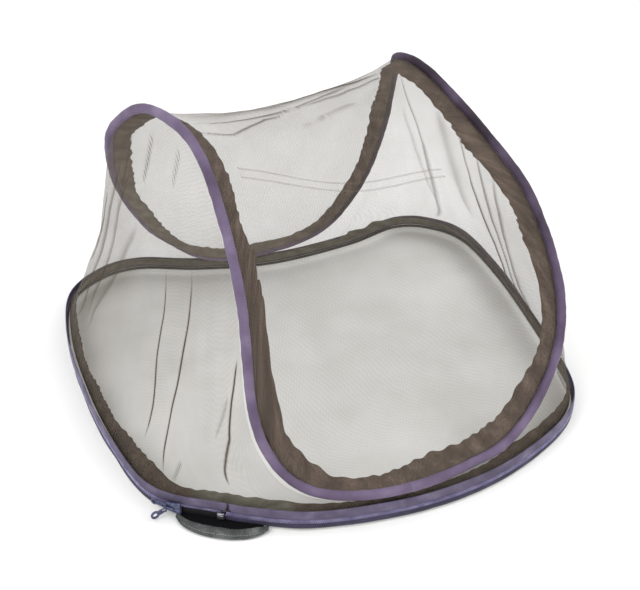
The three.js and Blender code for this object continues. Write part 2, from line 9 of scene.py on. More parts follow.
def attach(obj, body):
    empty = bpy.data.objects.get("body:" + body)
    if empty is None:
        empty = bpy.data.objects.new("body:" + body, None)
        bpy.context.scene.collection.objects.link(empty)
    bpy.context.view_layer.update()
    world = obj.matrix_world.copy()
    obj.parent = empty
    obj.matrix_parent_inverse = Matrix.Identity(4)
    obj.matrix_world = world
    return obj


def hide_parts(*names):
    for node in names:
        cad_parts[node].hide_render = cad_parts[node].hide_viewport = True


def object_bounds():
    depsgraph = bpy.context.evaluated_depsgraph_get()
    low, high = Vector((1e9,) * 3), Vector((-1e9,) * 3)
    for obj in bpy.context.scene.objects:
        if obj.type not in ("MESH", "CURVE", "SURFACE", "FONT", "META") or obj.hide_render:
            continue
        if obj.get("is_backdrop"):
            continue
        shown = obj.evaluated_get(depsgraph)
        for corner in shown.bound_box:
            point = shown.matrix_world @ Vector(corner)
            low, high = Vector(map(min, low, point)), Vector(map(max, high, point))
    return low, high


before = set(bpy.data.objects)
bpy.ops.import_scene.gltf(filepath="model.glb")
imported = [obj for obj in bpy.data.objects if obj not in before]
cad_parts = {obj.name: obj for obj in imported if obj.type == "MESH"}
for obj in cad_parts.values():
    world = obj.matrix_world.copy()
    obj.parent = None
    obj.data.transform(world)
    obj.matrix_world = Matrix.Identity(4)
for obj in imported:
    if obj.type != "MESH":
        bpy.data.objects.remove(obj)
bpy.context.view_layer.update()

MM = 0.001
ROOT = "root"
scene = bpy.context.scene

# Camera
# The photograph looks down at 34 degrees from a little left of the front.
VIEW_TURN = math.radians(-18.0)
VIEW_TILT = math.radians(34.4)
VIEW_AWAY = 1676.9 * MM
VIEW_AT = Vector((49.7, 160.2, 0.0)) * MM
LENS_MM = 64.69

back = Vector((
    math.sin(VIEW_TURN) * math.cos(VIEW_TILT),
    -math.cos(VIEW_TURN) * math.cos(VIEW_TILT),
    math.sin(VIEW_TILT),
))
eye = bpy.data.cameras.new("photo_view")
eye.lens = LENS_MM
eye.sensor_width = 36.0
eye.clip_end = 50.0
camera = bpy.data.objects.new("photo_view", eye)
camera.location = VIEW_AT + back * VIEW_AWAY
camera.rotation_euler = (-back).to_track_quat("-Z", "Y").to_euler()
scene.collection.objects.link(camera)
scene.camera = camera

# Sizes, in millimetres
TUBE_R = 6.0
NET = 1.0
GAP = 0.6
STRIP_LIFT = 3.4
STRIP_W = 20.0
FLOOR_INSET = 18.0
WALL_TOP = 9.4
CHAIN_LOW, CHAIN_HIGH = 11.0, 17.0
TAPE_HIGH = 29.0
FOOT_IN, FOOT_Z = 2.0, 20.5
RIDGE_X, RIDGE_Y, RIDGE_W, RIDGE_SAG = -29.0, 73.0, 78.0, 33.0
RIDGE_TURN = math.radians(14.7)
STATIONS = 96
# Steps along each piece, and where the nets leave the binding
NET_STEPS, RING_STEPS, TAPE_STEPS, STRIP_STEPS, FLOOR_STEPS = 560, 480, 1400, 900, 288
NET_SEAM = TUBE_R - 0.6

# Zip line seen from above: x, y, counter-clockwise from the front middle
BASE = [
    (0, -295), (90, -288), (167, -264), (240, -223), (278, -178), (293, -110), (304, 0), (310, 110),
    (303, 215), (270, 268), (215, 290), (130, 264), (5, 249), (-105, 268), (-190, 297), (-250, 285),
    (-300, 232), (-316, 130), (-310, 6), (-294, -96), (-266, -185), (-205, -232), (-110, -280),
]
BASE_BACK = 12
# Middle of the wire ring: x, y, z, from the front low point round by the right arch
RING = [
    (10, -291, 41), (80, -277, 39), (144, -258, 44), (198, -224, 66), (239, -188, 112), (253, -152, 167),
    (245, -107, 234), (225, -53, 290), (170, 64, 363), (142, 118, 374), (149, 154, 333), (152, 199, 230),
    (132, 230, 133), (75, 238, 63), (-18, 238, 41), (-92, 244, 43), (-151, 252, 80), (-184, 237, 124),
    (-220, 190, 214), (-233, 118, 311), (-224, 82, 355), (-200, 28, 392), (-169, -35, 388),
    (-153, -89, 349), (-147, -170, 257), (-152, -224, 144), (-137, -240, 82), (-107, -258, 46),
    (-59, -283, 41),
]
RING_BACK = 14
# Soft folds of the end panels: place along the half ring, lean, width, depth, from ring (0) to zip (1)
FOLDS_LEFT = [
    (0.74, 0.05, 0.045, -7, 0.10, 1.0), (0.64, 0.08, 0.040, -6, 0.05, 0.9),
    (0.86, -0.02, 0.045, -6, 0.15, 1.0), (0.45, -0.06, 0.040, -5, 0.20, 1.0),
]
FOLDS_RIGHT = [
    (0.50, -0.02, 0.050, -8, 0.05, 0.95), (0.40, 0.05, 0.045, -6, 0.10, 0.90),
    (0.60, -0.05, 0.045, -5, 0.05, 0.90),
]
# Creases of the top panel: turn from the ridge middle, how far out it starts, width, depth
CREASES_TOP = [(-8, 0.25, 6, 5), (-24, 0.30, 5, 5), (205, 0.30, 6, 4), (255, 0.45, 5, 4)]
# Soft creases of the floor cloth: both ends, width, height
CREASES_FLOOR = [
    (20, -120, 60, -95, 16, 3.0), (-20, -205, 10, -200, 14, 2.5),
    (110, -130, 190, -110, 16, 2.5), (-200, 30, -120, 60, 18, 2.5),
]

# Sharp pleats of the end nets, each a few places (v round the half ring, t from ring to zip),
# then half width and how far the doubled net closes up
PLEATS_LEFT = [
    ([(0.57, 0.36), (0.65, 0.62), (0.723, 0.84)], 1.0, 1.2),
    ([(0.61, 0.24), (0.685, 0.53), (0.778, 0.87)], 1.0, 1.4),
    ([(0.74, 0.08), (0.752, 0.12), (0.802, 0.28), (0.825, 0.49), (0.845, 0.63)], 1.1, 1.2),
    ([(0.775, 0.70), (0.79, 0.86)], 1.0, 0.8),
    ([(0.50, 0.35), (0.465, 0.61), (0.417, 0.87)], 4.0, 0.36),
    ([(0.435, 0.10), (0.40, 0.40), (0.365, 0.69), (0.35, 0.9)], 3.0, 0.5),
    ([(0.46, 0.15), (0.43, 0.45), (0.39, 0.85)], 2.6, 0.45),
    ([(0.49, 0.06), (0.485, 0.24)], 1.6, 0.7),
    ([(0.53, 0.05), (0.535, 0.17)], 1.4, 0.6),
    ([(0.45, 0.06), (0.44, 0.30)], 1.8, 0.6),
    ([(0.76, 0.20), (0.785, 0.40)], 1.8, 0.35),
    ([(0.33, 0.15), (0.31, 0.60)], 3.0, 0.25),
]
PLEATS_RIGHT = [
    ([(0.63, 0.03), (0.62, 0.23), (0.70, 0.55), (0.79, 0.87)], 3.4, 0.55),
    ([(0.565, 0.12), (0.56, 0.35), (0.555, 0.62)], 9.0, 0.28),
    ([(0.535, 0.12), (0.50, 0.45), (0.455, 0.80)], 2.0, 0.60),
    ([(0.50, 0.12), (0.47, 0.45), (0.43, 0.88)], 2.2, 0.60),
    ([(0.47, 0.15), (0.44, 0.55), (0.41, 0.95)], 2.8, 0.55),
    ([(0.52, 0.25), (0.48, 0.60), (0.44, 0.92)], 1.5, 0.5),
    ([(0.217, 0.13), (0.22, 0.88)], 2.5, 0.5),
    ([(0.66, 0.10), (0.72, 0.60)], 3.0, 0.25),
    ([(0.24, 0.15), (0.25, 0.85)], 2.0, 0.35),
]
# Creases of the top net, placed across the ridge: u to the right, w to the back
PLEATS_TOP = [
    ([(-165, 8), (-110, 12), (-50, 45), (-20, 50)], 1.5, 0.65),
    ([(-160, 30), (-60, 52), (20, 62), (90, 70)], 1.7, 0.65),
    ([(-60, 86), (40, 80), (135, 64)], 2.2, 0.7),
    ([(0, 55), (80, 60), (132, 56)], 1.5, 0.6),
    ([(-150, 100), (-60, 98), (60, 92), (140, 78)], 5.0, 0.30),
    ([(-160, 60), (-90, 72), (0, 78), (130, 68)], 4.0, 0.28),
    ([(-20, 20), (60, 35), (125, 46)], 2.0, 0.35),
    ([(70, 0), (110, 25), (128, 45)], 1.6, 0.35),
]


def between(a, b, c, d, k):
    """Point at part k of the smooth stretch from b to c of a curve that runs through a, b, c and d."""
    return ((2 * k**3 - 3 * k**2 + 1) * b + (k**3 - 2 * k**2 + k) * (c - a) / 2
            + (-2 * k**3 + 3 * k**2) * c + (k**3 - k**2) * (d - b) / 2)


def on_path(s, run, pts):
    """Points at lengths s of a path that run measures."""
    return np.stack([np.interp(s, run, pts[:, k]) for k in range(3)], -1)


class Loop:
    """A closed smooth curve through table rows, measured along its length."""

    def __init__(self, rows, back_row, fine=40):
        p = np.array([tuple(r) + (0,) * (3 - len(r)) for r in rows], float)
        pts = []
        for i in range(len(p)):
            four = p[i - 1], p[i], p[(i + 1) % len(p)], p[(i + 2) % len(p)]
            pts += [between(*four, k / fine) for k in range(fine)]
        self.fine = np.array(pts)
        closed = np.vstack([self.fine, self.fine[:1]])
        self.pts = closed
        step = np.linalg.norm(np.diff(closed, axis=0), axis=1)
        self.len = np.concatenate([[0], np.cumsum(step)])
        self.total = self.len[-1]
        self.back = self.len[back_row * fine]

    def at(self, s):
        return on_path(np.mod(np.asarray(s, float), self.total), self.len, self.pts)

    def tangent(self, s):
        s = np.asarray(s, float)
        d = self.at(s + 1) - self.at(s - 1)
        return d / np.linalg.norm(d, axis=-1, keepdims=True)

    def place(self, f, bend=0.0):
        """Length at fraction f of the way round; the two halves are measured on their own."""
        f = np.mod(np.asarray(f, float), 1.0)
        left = f >= 0.5
        v = np.where(left, 2 * f - 1, 2 * f)
        v = v + bend * np.sin(2 * np.pi * v)
        return np.where(left, self.back + v * (self.total - self.back), v * self.back)


base = Loop(BASE, BASE_BACK)
ring = Loop(RING, RING_BACK)


def zip_at(f):
    """Length along the zip at fraction f of the way round; its halves bunch a little at their middles."""
    return base.place(f, 0.07)


def rim(s, out, z):
    """Point of the base at length s, moved out square to the zip line, at height z."""
    p, t = base.at(s), base.tangent(s)
    out, z = np.broadcast_to(out, p.shape[:-1]), np.broadcast_to(z, p.shape[:-1])
    return np.stack([p[..., 0] + t[..., 1] * out, p[..., 1] - t[..., 0] * out, z], -1)


def smooth(a, b, x):
    """0 up to a, 1 from b on, and an even swing between them."""
    t = np.clip((x - a) / (b - a), 0, 1)
    return t * t * (3 - 2 * t)


def turned(x, y):
    """Place across the ridge, u to the right and w to the back, of a place x, y."""
    c, s = math.cos(RIDGE_TURN), math.sin(RIDGE_TURN)
    return x * c + y * s, y * c - x * s


ru, rw = turned(ring.fine[:, 0], ring.fine[:, 1])
front_i, back_i = int(np.argmin(rw)), int(np.argmax(rw))


def arch(a, b):
    """Side of the ring from point a to point b, front to back: its w, its u and its height."""
    n = len(rw)
    idx = np.arange(a, b + 1 if b > a else b + n + 1) % n
    idx = idx[np.argsort(rw[idx], kind="stable")]
    return rw[idx], ru[idx], ring.fine[idx, 2]


ARCH_R, ARCH_L = arch(front_i, back_i), arch(back_i, front_i)


def top_height(x, y):
    """Height of the top net: stretched from arch to arch, it sags between them."""
    u, w = turned(x, y)
    lu, lz = np.interp(w, ARCH_L[0], ARCH_L[1]), np.interp(w, ARCH_L[0], ARCH_L[2])
    hu, hz = np.interp(w, ARCH_R[0], ARCH_R[1]), np.interp(w, ARCH_R[0], ARCH_R[2])
    s = np.clip((u - lu) / np.maximum(hu - lu, 1), 0, 1)
    reach = np.where(w < RIDGE_W, RIDGE_W - ARCH_R[0][0], ARCH_R[0][-1] - RIDGE_W)
    near = np.cos(0.5 * np.pi * np.minimum(np.abs(w - RIDGE_W) / reach, 1))
    return lz + (hz - lz) * s - RIDGE_SAG * near * 4 * s * (1 - s)


def on_top(u, w):
    """Point of the top panel, placed across the ridge: u to the right, w to the back."""
    c, s = math.cos(RIDGE_TURN), math.sin(RIDGE_TURN)
    x, y = u * c - w * s, u * s + w * c
    return np.stack([x, y, top_height(x, y)], -1)


def top_point(f, r):
    """Point of the top net at part r of the way from its middle to place f of the ring."""
    e = ring.at(ring.place(f))
    x = RIDGE_X + (e[..., 0] - RIDGE_X) * r
    y = RIDGE_Y + (e[..., 1] - RIDGE_Y) * r
    z = top_height(x, y)
    turn = np.degrees(np.arctan2(e[..., 1] - RIDGE_Y, e[..., 0] - RIDGE_X))
    for at, start, wide, deep in CREASES_TOP:
        d = turn - at
        d = d - 360 * np.round(d / 360)
        fade = smooth(start, start + 0.25, r) * (1 - smooth(0.75, 0.90, r))
        z = z - deep * fade * np.exp(-((d / wide) ** 2))
    return np.stack([x, y, z], -1)


def clear_of_ring(dist):
    """Fraction of the top panel, at each station, where it first clears the ring's middle by dist."""
    f = np.arange(STATIONS) / STATIONS
    r = 1 - 0.002 * np.arange(250)
    p = top_point(f[:, None], r[None, :])
    found = []
    for i in range(STATIONS):
        want = dist[i] if np.ndim(dist) else dist
        d = np.sqrt(((p[i][:, None, :] - ring.fine[None, ::2, :]) ** 2).sum(-1)).min(1)
        found.append(r[int(np.argmax(d >= want))])
    found = np.array(found + found[:1])
    return lambda g: np.interp(np.mod(g, 1.0), np.arange(STATIONS + 1) / STATIONS, found)


def end_point(f, t):
    """Point of an end net at part t of the way down from place f of the ring to the zip."""
    s = zip_at(f)
    a = ring.at(ring.place(f))
    b = rim(s, -FOOT_IN, FOOT_Z)
    p = a + (b - a) * t[..., None]
    span = np.linalg.norm(b - a, axis=-1)
    out = rim(s, 1, 0) - rim(s, 0, 0)
    along = b - a
    across = np.cross(along, [0, 0, 1.0])
    n = np.cross(across, along)
    n /= np.linalg.norm(n, axis=-1, keepdims=True)
    n *= np.where((n * out).sum(-1, keepdims=True) < 0, -1, 1)
    left = np.mod(f, 1.0) >= 0.5
    v = np.mod(2 * f, 1.0)
    size = smooth(40, 220, span)
    off = -0.03 * span * np.sin(np.pi * t) * size
    for side, table in ((left, FOLDS_LEFT), (~left, FOLDS_RIGHT)):
        for at, lean, wide, deep, start, stop in table:
            d = (v - at - lean * t) / wide
            fade = smooth(start, start + 0.3, t) * (1 - smooth(stop - 0.2, stop, t))
            off = off + side * deep * size * fade * np.exp(-d * d)
    return p + n * off[..., None]


# Mesh and material helpers
def strip_wave(i, a, b):
    """Slow uneven swelling of a strip's width, about 1."""
    return 1 + 0.12 * np.sin(a * i * 0.37 + b) + 0.08 * np.sin(i * 0.91 * a + 2 * b)


def pleat(grid, lines, place):
    """How close each point of a grid is to pleat lines: closing of the net there, and a small ridge."""
    dense, rise = np.zeros(grid.shape[:-1]), np.zeros(grid.shape[:-1])
    for places, wide, close in lines:
        k = np.linspace(0, len(places) - 1, 24 * (len(places) - 1) + 1)
        q = np.array(places, float)
        at = np.stack([np.interp(k, np.arange(len(q)), q[:, j]) for j in (0, 1)], -1)
        path = place(at[:, 0], at[:, 1])
        best = np.full(grid.shape[:-1], 1e9)
        where = np.zeros(grid.shape[:-1])
        for i in range(len(path) - 1):
            a, d = path[i], path[i + 1] - path[i]
            t = np.clip(((grid - a) @ d) / max(d @ d, 1e-9), 0, 1)
            far = np.linalg.norm(grid - a - t[..., None] * d, axis=-1)
            where = np.where(far < best, (i + t) / (len(path) - 1), where)
            best = np.minimum(best, far)
        ends = smooth(0, 0.15, where) * (1 - smooth(0.85, 1, where))
        swell = wide * (0.6 + 0.7 * np.sin(np.pi * where))
        dense += close * ends * np.exp(-((best / swell) ** 2))
        rise += ends * min(wide, 3.0) * 0.8 * np.exp(-((best / (swell + 1.5)) ** 2))
    return np.clip(dense, 0, 1.2), rise


def wobble(p, size, seed):
    """Seeded smooth noise, about -1 to 1, at each point of a grid, in features of the given size."""
    flat = p.reshape(-1, 3)
    out = [noise.noise(Vector((q[0] / size + seed, q[1] / size, q[2] / size))) for q in flat]
    return np.array(out).reshape(p.shape[:-1]) * 1.8


def normals(grid, closed):
    """Unit direction square to a grid of points at each of them."""
    g = np.concatenate([grid[-1:], grid, grid[:1]]) if closed else grid
    du = np.gradient(g, axis=0)
    if closed:
        du = du[1:-1]
    dv = np.gradient(grid, axis=1)
    n = np.cross(du, dv)
    return n / np.maximum(np.linalg.norm(n, axis=-1, keepdims=True), 1e-9)


def face_out(mesh, merge=False):
    """Turns all faces outwards, after its doubles are merged where asked."""
    bm = bmesh.new()
    bm.from_mesh(mesh)
    if merge:
        bmesh.ops.remove_doubles(bm, verts=bm.verts, dist=1e-6)
    bmesh.ops.recalc_face_normals(bm, faces=bm.faces)
    bm.to_mesh(mesh)
    bm.free()


def clean_object(name, mesh):
    """An object for a mesh that already holds its place, carried by the part."""
    ob = bpy.data.objects.new(name, mesh)
    scene.collection.objects.link(ob)
    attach(ob, ROOT)
    return ob


def cloth(name, grid, closed, uv, thick=0.0, middle=None, marks=None, outward=None):
    """A sheet of cloth on a grid of points in millimetres, with its own UV in millimetres."""
    m, n = grid.shape[:2]
    verts = [tuple(q * MM) for q in grid.reshape(-1, 3)]
    faces = []
    uvs = uv.reshape(-1, 2)
    for i in range(m if closed else m - 1):
        k = (i + 1) % m
        for j in range(n - 1):
            faces.append((i * n + j, k * n + j, k * n + j + 1, i * n + j + 1))
    if middle is not None:
        verts.append(tuple(np.array(middle) * MM))
        uvs = np.vstack([uvs, uvs[(np.arange(m) + 1) * n - 1].mean(0)])
        for i in range(m):
            faces.append((i * n + n - 1, ((i + 1) % m) * n + n - 1, m * n))
    mesh = bpy.data.meshes.new(name)
    mesh.from_pydata(verts, [], faces)
    layer = mesh.uv_layers.new(name="cloth_mm")
    lap = float(uv[..., 0].max()) if closed else 0
    for poly in mesh.polygons:
        vs = [mesh.loops[li].vertex_index for li in poly.loop_indices]
        wrap = closed and middle is None and lap and max(v // n for v in vs) - min(v // n for v in vs) > m / 2
        for li, v in zip(poly.loop_indices, vs):
            q = uvs[v].copy()
            if wrap and v // n < m / 2:
                q[0] += lap * m / (m - 1)
            layer.data[li].uv = q
    for key, values in (marks or {}).items():
        att = mesh.attributes.new(key, "FLOAT", "POINT")
        flat = list(values.reshape(-1)) + ([float(values[:, -1].mean())] if middle is not None else [])
        att.data.foreach_set("value", flat)
    mesh.update()
    if outward is not None:
        total = sum((p.normal.dot(Vector(outward(p.center))) * p.area for p in mesh.polygons))
        if total < 0:
            mesh.flip_normals()
    mesh.polygons.foreach_set("use_smooth", [True] * len(mesh.polygons))
    ob = clean_object(name, mesh)
    if thick:
        solid = ob.modifiers.new("thickness", "SOLIDIFY")
        solid.thickness = thick * MM
        solid.offset = 0.0
        solid.use_even_offset = False
    return ob


def hex_rgb(code):
    """sRGB hex to the linear colour that a shader takes."""
    vals = [int(code[i:i + 2], 16) / 255 for i in (1, 3, 5)]
    lin = [v / 12.92 if v <= 0.04045 else ((v + 0.055) / 1.055) ** 2.4 for v in vals]
    return (*lin, 1.0)


def add_node(nt, kind, joins=None, stops=(), **settings):
    """Adds a node: settings set its properties or sockets by name, joins feed its sockets with values or
    with other nodes' outputs, and stops are the places and hex colours of its ramp."""
    nd = nt.nodes.new(kind)
    for key, val in settings.items():
        if hasattr(nd, key):
            setattr(nd, key, val)
        else:
            nd.inputs[key.replace("_", " ")].default_value = val
    for key, val in (joins or {}).items():
        if isinstance(val, bpy.types.NodeSocket):
            nt.links.new(val, nd.inputs[key])
        else:
            nd.inputs[key].default_value = val
    if stops:
        ramp = nd.color_ramp
        while len(ramp.elements) < len(stops):
            ramp.elements.new(0.5)
        for el, (at, code) in zip(ramp.elements, stops):
            el.position = at
            el.color = hex_rgb(code)
    return nd


def new_material(name, rough, **sockets):
    """A bare material with one shader: the material, its node tree and the shader."""
    mat = bpy.data.materials.new(name)
    mat.use_nodes = True
    nt = mat.node_tree
    nt.nodes.clear()
    bsdf = add_node(nt, "ShaderNodeBsdfPrincipled", Roughness=rough, **sockets)
    add_node(nt, "ShaderNodeOutputMaterial", {"Surface": bsdf.outputs[0]})
    return mat, nt, bsdf


def layers(nt, parts, start=0.0, clamp=False):
    """A pattern of layers: each part is a value and how much it counts, and all are added to start."""
    for value, share in parts:
        joins = {0: value, 1: share, 2: start}
        start = add_node(nt, "ShaderNodeMath", joins, operation="MULTIPLY_ADD", use_clamp=clamp).outputs[0]
    return start


def stripes(nt, vec, axis, pitch):
    """0 to 1 and back across each pitch, along one axis of a vector in millimetres."""
    along = add_node(nt, "ShaderNodeSeparateXYZ", {"Vector": vec}).outputs[axis]
    steps = add_node(nt, "ShaderNodeMath", {0: along, 1: pitch / 2}, operation="DIVIDE").outputs[0]
    return add_node(nt, "ShaderNodeMath", {0: steps, 1: 1.0}, operation="PINGPONG").outputs[0]


def coat(nt, bsdf, tint, relief, depth_mm, strength):
    """Gives a surface its colour and its relief."""
    rise = add_node(nt, "ShaderNodeBump", {"Height": relief}, Strength=strength, Distance=depth_mm * MM)
    nt.links.new(rise.outputs[0], bsdf.inputs["Normal"])
    nt.links.new(tint, bsdf.inputs["Base Color"])


# Materials
# Noise in the plane of the cloth
FLAT = {"noise_dimensions": "2D"}


def sheer_net(name, pale, dark, pitch=3.0):
    """Knitted polyester net: see-through, darker where pleats double it, with a fine mesh that just shows.
    The real mesh is about 1.6 mm; it is drawn at 3 mm so that it shows in the render."""
    mat, nt, bsdf = new_material(name, 0.8, Specular_IOR_Level=0.2)
    vec = add_node(nt, "ShaderNodeUVMap", uv_map="cloth_mm").outputs[0]
    drift = add_node(nt, "ShaderNodeTexNoise", {"Vector": vec}, Scale=0.05, Detail=1.0, **FLAT)
    moved = add_node(nt, "ShaderNodeVectorMath", {0: drift.outputs["Color"]}, operation="SCALE", Scale=4.0)
    drawn = add_node(nt, "ShaderNodeVectorMath", {0: vec, 1: moved.outputs[0]}, operation="ADD")
    bias = add_node(nt, "ShaderNodeVectorRotate", {"Vector": drawn.outputs[0]}, rotation_type="Z_AXIS",
                    Angle=math.radians(38)).outputs[0]
    mesh = layers(nt, [(stripes(nt, bias, axis, pitch), 0.5) for axis in (0, 1)])
    cloud = add_node(nt, "ShaderNodeTexNoise", {"Vector": vec}, Scale=0.016, Detail=2.0, **FLAT)
    dense = add_node(nt, "ShaderNodeAttribute", attribute_name="dense").outputs["Fac"]
    parts = [(cloud.outputs["Fac"], NET_CLOUD), (mesh, NET_THREAD), (dense, NET_PLEAT)]
    nt.links.new(layers(nt, parts, NET_BODY, True), bsdf.inputs["Alpha"])
    tint = add_node(nt, "ShaderNodeValToRGB", {0: dense}, [(0.0, pale), (0.7, dark)])
    nt.links.new(tint.outputs[0], bsdf.inputs["Base Color"])
    return mat


def lining_cloth(name, tints, far=None, rough=0.82):
    """Light taffeta: dull, with paler creases; far names the three colours it fades to by its shade."""
    mat, nt, bsdf = new_material(name, rough, Sheen_Weight=0.03, Specular_IOR_Level=0.25)
    vec = add_node(nt, "ShaderNodeUVMap", uv_map="cloth_mm").outputs[0]
    folds = add_node(nt, "ShaderNodeTexNoise", {"Vector": vec}, Scale=0.05, Detail=4.0, **FLAT)
    crush = add_node(nt, "ShaderNodeTexNoise", {"Vector": vec}, Scale=0.35, Detail=2.0, **FLAT)
    mix = layers(nt, [(folds.outputs["Fac"], 0.7), (crush.outputs["Fac"], 0.3)])
    places = (0.30, 0.5, 0.72)
    tint = add_node(nt, "ShaderNodeValToRGB", {0: mix}, list(zip(places, tints))).outputs[0]
    if far:
        faded = add_node(nt, "ShaderNodeValToRGB", {0: mix}, list(zip(places, far))).outputs[0]
        shade = add_node(nt, "ShaderNodeAttribute", attribute_name="shade").outputs["Fac"]
        tint = add_node(nt, "ShaderNodeMix", {0: shade, 6: tint, 7: faded}, data_type="RGBA").outputs[2]
    coat(nt, bsdf, tint, mix, 1.6, 0.7)
    return mat


def zip_tape_cloth(name, tints, painted_shade_colour, rib=1.3, pick=1.8):
    """Woven polyester zip tape: lilac twill, ribbed, with worn threads; its shade mark turns it to a flat
    painted shade.
    """
    mat, nt, bsdf = new_material(name, 0.72, Sheen_Weight=0.05, Specular_IOR_Level=0.3)
    vec = add_node(nt, "ShaderNodeUVMap", uv_map="cloth_mm").outputs[0]
    worn = add_node(nt, "ShaderNodeTexNoise", {"Vector": vec}, Scale=0.03, Detail=5.0, **FLAT)
    ribs, picks = stripes(nt, vec, 1, rib), stripes(nt, vec, 0, pick)
    mix = layers(nt, [(ribs, 0.18), (picks, 0.12), (worn.outputs["Fac"], 0.75)])
    tint = add_node(nt, "ShaderNodeValToRGB", {0: mix}, list(zip((0.30, 0.52, 0.78), tints))).outputs[0]
    shade = add_node(nt, "ShaderNodeAttribute", attribute_name="shade").outputs["Fac"]
    # Painted shade: the tape turns to this one dark colour where its shade mark is set
    joins = {0: shade, 6: tint, 7: hex_rgb(painted_shade_colour)}
    coat(nt, bsdf, add_node(nt, "ShaderNodeMix", joins, data_type="RGBA").outputs[2], mix, 0.7, 0.6)
    return mat


def binding_cloth(name, tints, pick=2.2):
    """Folded polyester binding: plum grey, pulled into puckers by its stitching; its shade mark paints lilac
    highlights on one arch and shade on the other.
    """
    mat, nt, bsdf = new_material(name, 0.66, Sheen_Weight=0.05, Specular_IOR_Level=0.3)
    vec = add_node(nt, "ShaderNodeUVMap", uv_map="cloth_mm").outputs[0]
    worn = add_node(nt, "ShaderNodeTexNoise", {"Vector": vec}, Scale=0.02, Detail=5.0, **FLAT)
    lit = add_node(nt, "ShaderNodeAttribute", attribute_name="shade").outputs["Fac"]
    parts = [(worn.outputs["Fac"], 0.55), (stripes(nt, vec, 0, pick), 0.10), (lit, 0.55)]
    mix = layers(nt, parts, clamp=True)
    tint = add_node(nt, "ShaderNodeValToRGB", {0: mix}, list(zip((0.15, 0.42, 0.75, 1.0), tints)))
    coat(nt, bsdf, tint.outputs[0], mix, 0.9, 0.5)
    return mat


def plain_weave(name, tints, pitch=1.8):
    """Plain woven polyester, pale grey, matt, with a weave that barely shows and soft crush marks.
    The real threads are finer; they are drawn 1.8 mm apart so that they show."""
    mat, nt, bsdf = new_material(name, 0.8, Sheen_Weight=0.1, Specular_IOR_Level=0.3)
    vec = add_node(nt, "ShaderNodeUVMap", uv_map="cloth_mm").outputs[0]
    crush = add_node(nt, "ShaderNodeTexNoise", {"Vector": vec}, Scale=0.012, Detail=4.0, **FLAT)
    slubs = add_node(nt, "ShaderNodeTexNoise", {"Vector": vec}, Scale=0.5, Detail=2.0, **FLAT)
    weave = [(stripes(nt, vec, axis, pitch), 0.045) for axis in (0, 1)]
    mix = layers(nt, [(crush.outputs["Fac"], 0.8), (slubs.outputs["Fac"], 0.12)] + weave)
    tint = add_node(nt, "ShaderNodeValToRGB", {0: mix}, list(zip((0.30, 0.55, 0.80), tints)))
    coat(nt, bsdf, tint.outputs[0], mix, 0.8, 0.35)
    return mat


def enamel_metal(name, dark, pale, rough=0.34, metallic=0.55):
    """Die-cast zinc with thin enamel: soft glints, and a fine grain of darker and paler enamel."""
    mat, nt, bsdf = new_material(name, rough, Metallic=metallic)
    vec = add_node(nt, "ShaderNodeTexCoord").outputs["Object"]
    grain = add_node(nt, "ShaderNodeTexNoise", {"Vector": vec}, Scale=260.0, Detail=4.0).outputs["Fac"]
    tint = add_node(nt, "ShaderNodeValToRGB", {0: grain}, [(0.35, dark), (0.68, pale)])
    coat(nt, bsdf, tint.outputs[0], grain, 0.12, 0.5)
    return mat


def coil_plastic(name, dark, pale):
    """Extruded nylon coil: lilac grey, semi-gloss, each tooth catching a small glint."""
    mat, nt, bsdf = new_material(name, 0.42)
    vec = add_node(nt, "ShaderNodeTexCoord").outputs["Object"]
    dust = add_node(nt, "ShaderNodeTexNoise", {"Vector": vec}, Scale=90.0, Detail=3.0).outputs["Fac"]
    tint = add_node(nt, "ShaderNodeValToRGB", {0: dust}, [(0.3, dark), (0.7, pale)])
    nt.links.new(tint.outputs[0], bsdf.inputs["Base Color"])
    return mat


def black_webbing(name, dark, pale):
    """Black polypropylene webbing: flat yarns in a ribbed weave, dull."""
    mat, nt, bsdf = new_material(name, 0.8, Specular_IOR_Level=0.1)
    vec = add_node(nt, "ShaderNodeUVMap", uv_map="cloth_mm").outputs[0]
    ribs = layers(nt, [(stripes(nt, vec, 0, 2.4), 1.2), (stripes(nt, vec, 1, 1.6), 0.8)])
    tint = add_node(nt, "ShaderNodeValToRGB", {0: ribs}, [(0.2, dark), (1.0, pale)])
    coat(nt, bsdf, tint.outputs[0], ribs, 0.8, 0.8)
    return mat


NET_BODY, NET_CLOUD, NET_THREAD, NET_PLEAT = 0.12, 0.12, 0.12, 0.80
NET_MAT = sheer_net("knitted_polyester_net", "#746C61", "#4A4036")
STRIP_RING = lining_cloth("brown_taffeta_strip", ("#382B25", "#51433B", "#726157"),
                          ("#59524A", "#6F675D", "#877E73"))
STRIP_BASE = lining_cloth("taupe_taffeta_strip", ("#241A14", "#382B23", "#56473C"),
                          ("#4A483E", "#5F5D52", "#78766A"))
# Both tapes are one lilac tape: the lower one's colours are darkened as painted shade, and the last colour of
# each is painted shade for where its shade mark is set
TAPE_UP = zip_tape_cloth("lilac_woven_zip_tape", ("#433C50", "#5A526A", "#80788E"), "#17141F")
TAPE_DOWN = zip_tape_cloth("shaded_woven_zip_tape", ("#211E2B", "#322E43", "#4C4760"), "#08080A")
BINDING = binding_cloth("plum_folded_binding", ("#130B12", "#2B1E2C", "#675873", "#8C8096"))
FLOOR = plain_weave("pale_woven_polyester", ("#E2E2DE", "#EBEBE8", "#F2F2EF"))
ENAMEL = enamel_metal("enamelled_die_cast_zinc", "#3C405A", "#686C8A")
SILVER = enamel_metal("nickel_plated_steel", "#9A9AA0", "#D6D6DA", 0.28, 0.95)
COIL = coil_plastic("extruded_nylon_coil", "#6E6690", "#A29BBE")
GRIP = lining_cloth("padded_grey_cloth", ("#383B3A", "#4D504F", "#6C706E"), rough=0.75)
BLACK = black_webbing("black_polypropylene_webbing", "#040405", "#101113")
# A plain spun yarn, matt, a little paler than the cloth that it is sewn through
THREAD = new_material("spun_grey_sewing_thread", 0.7, Base_Color=hex_rgb("#9AA09C"))[0]


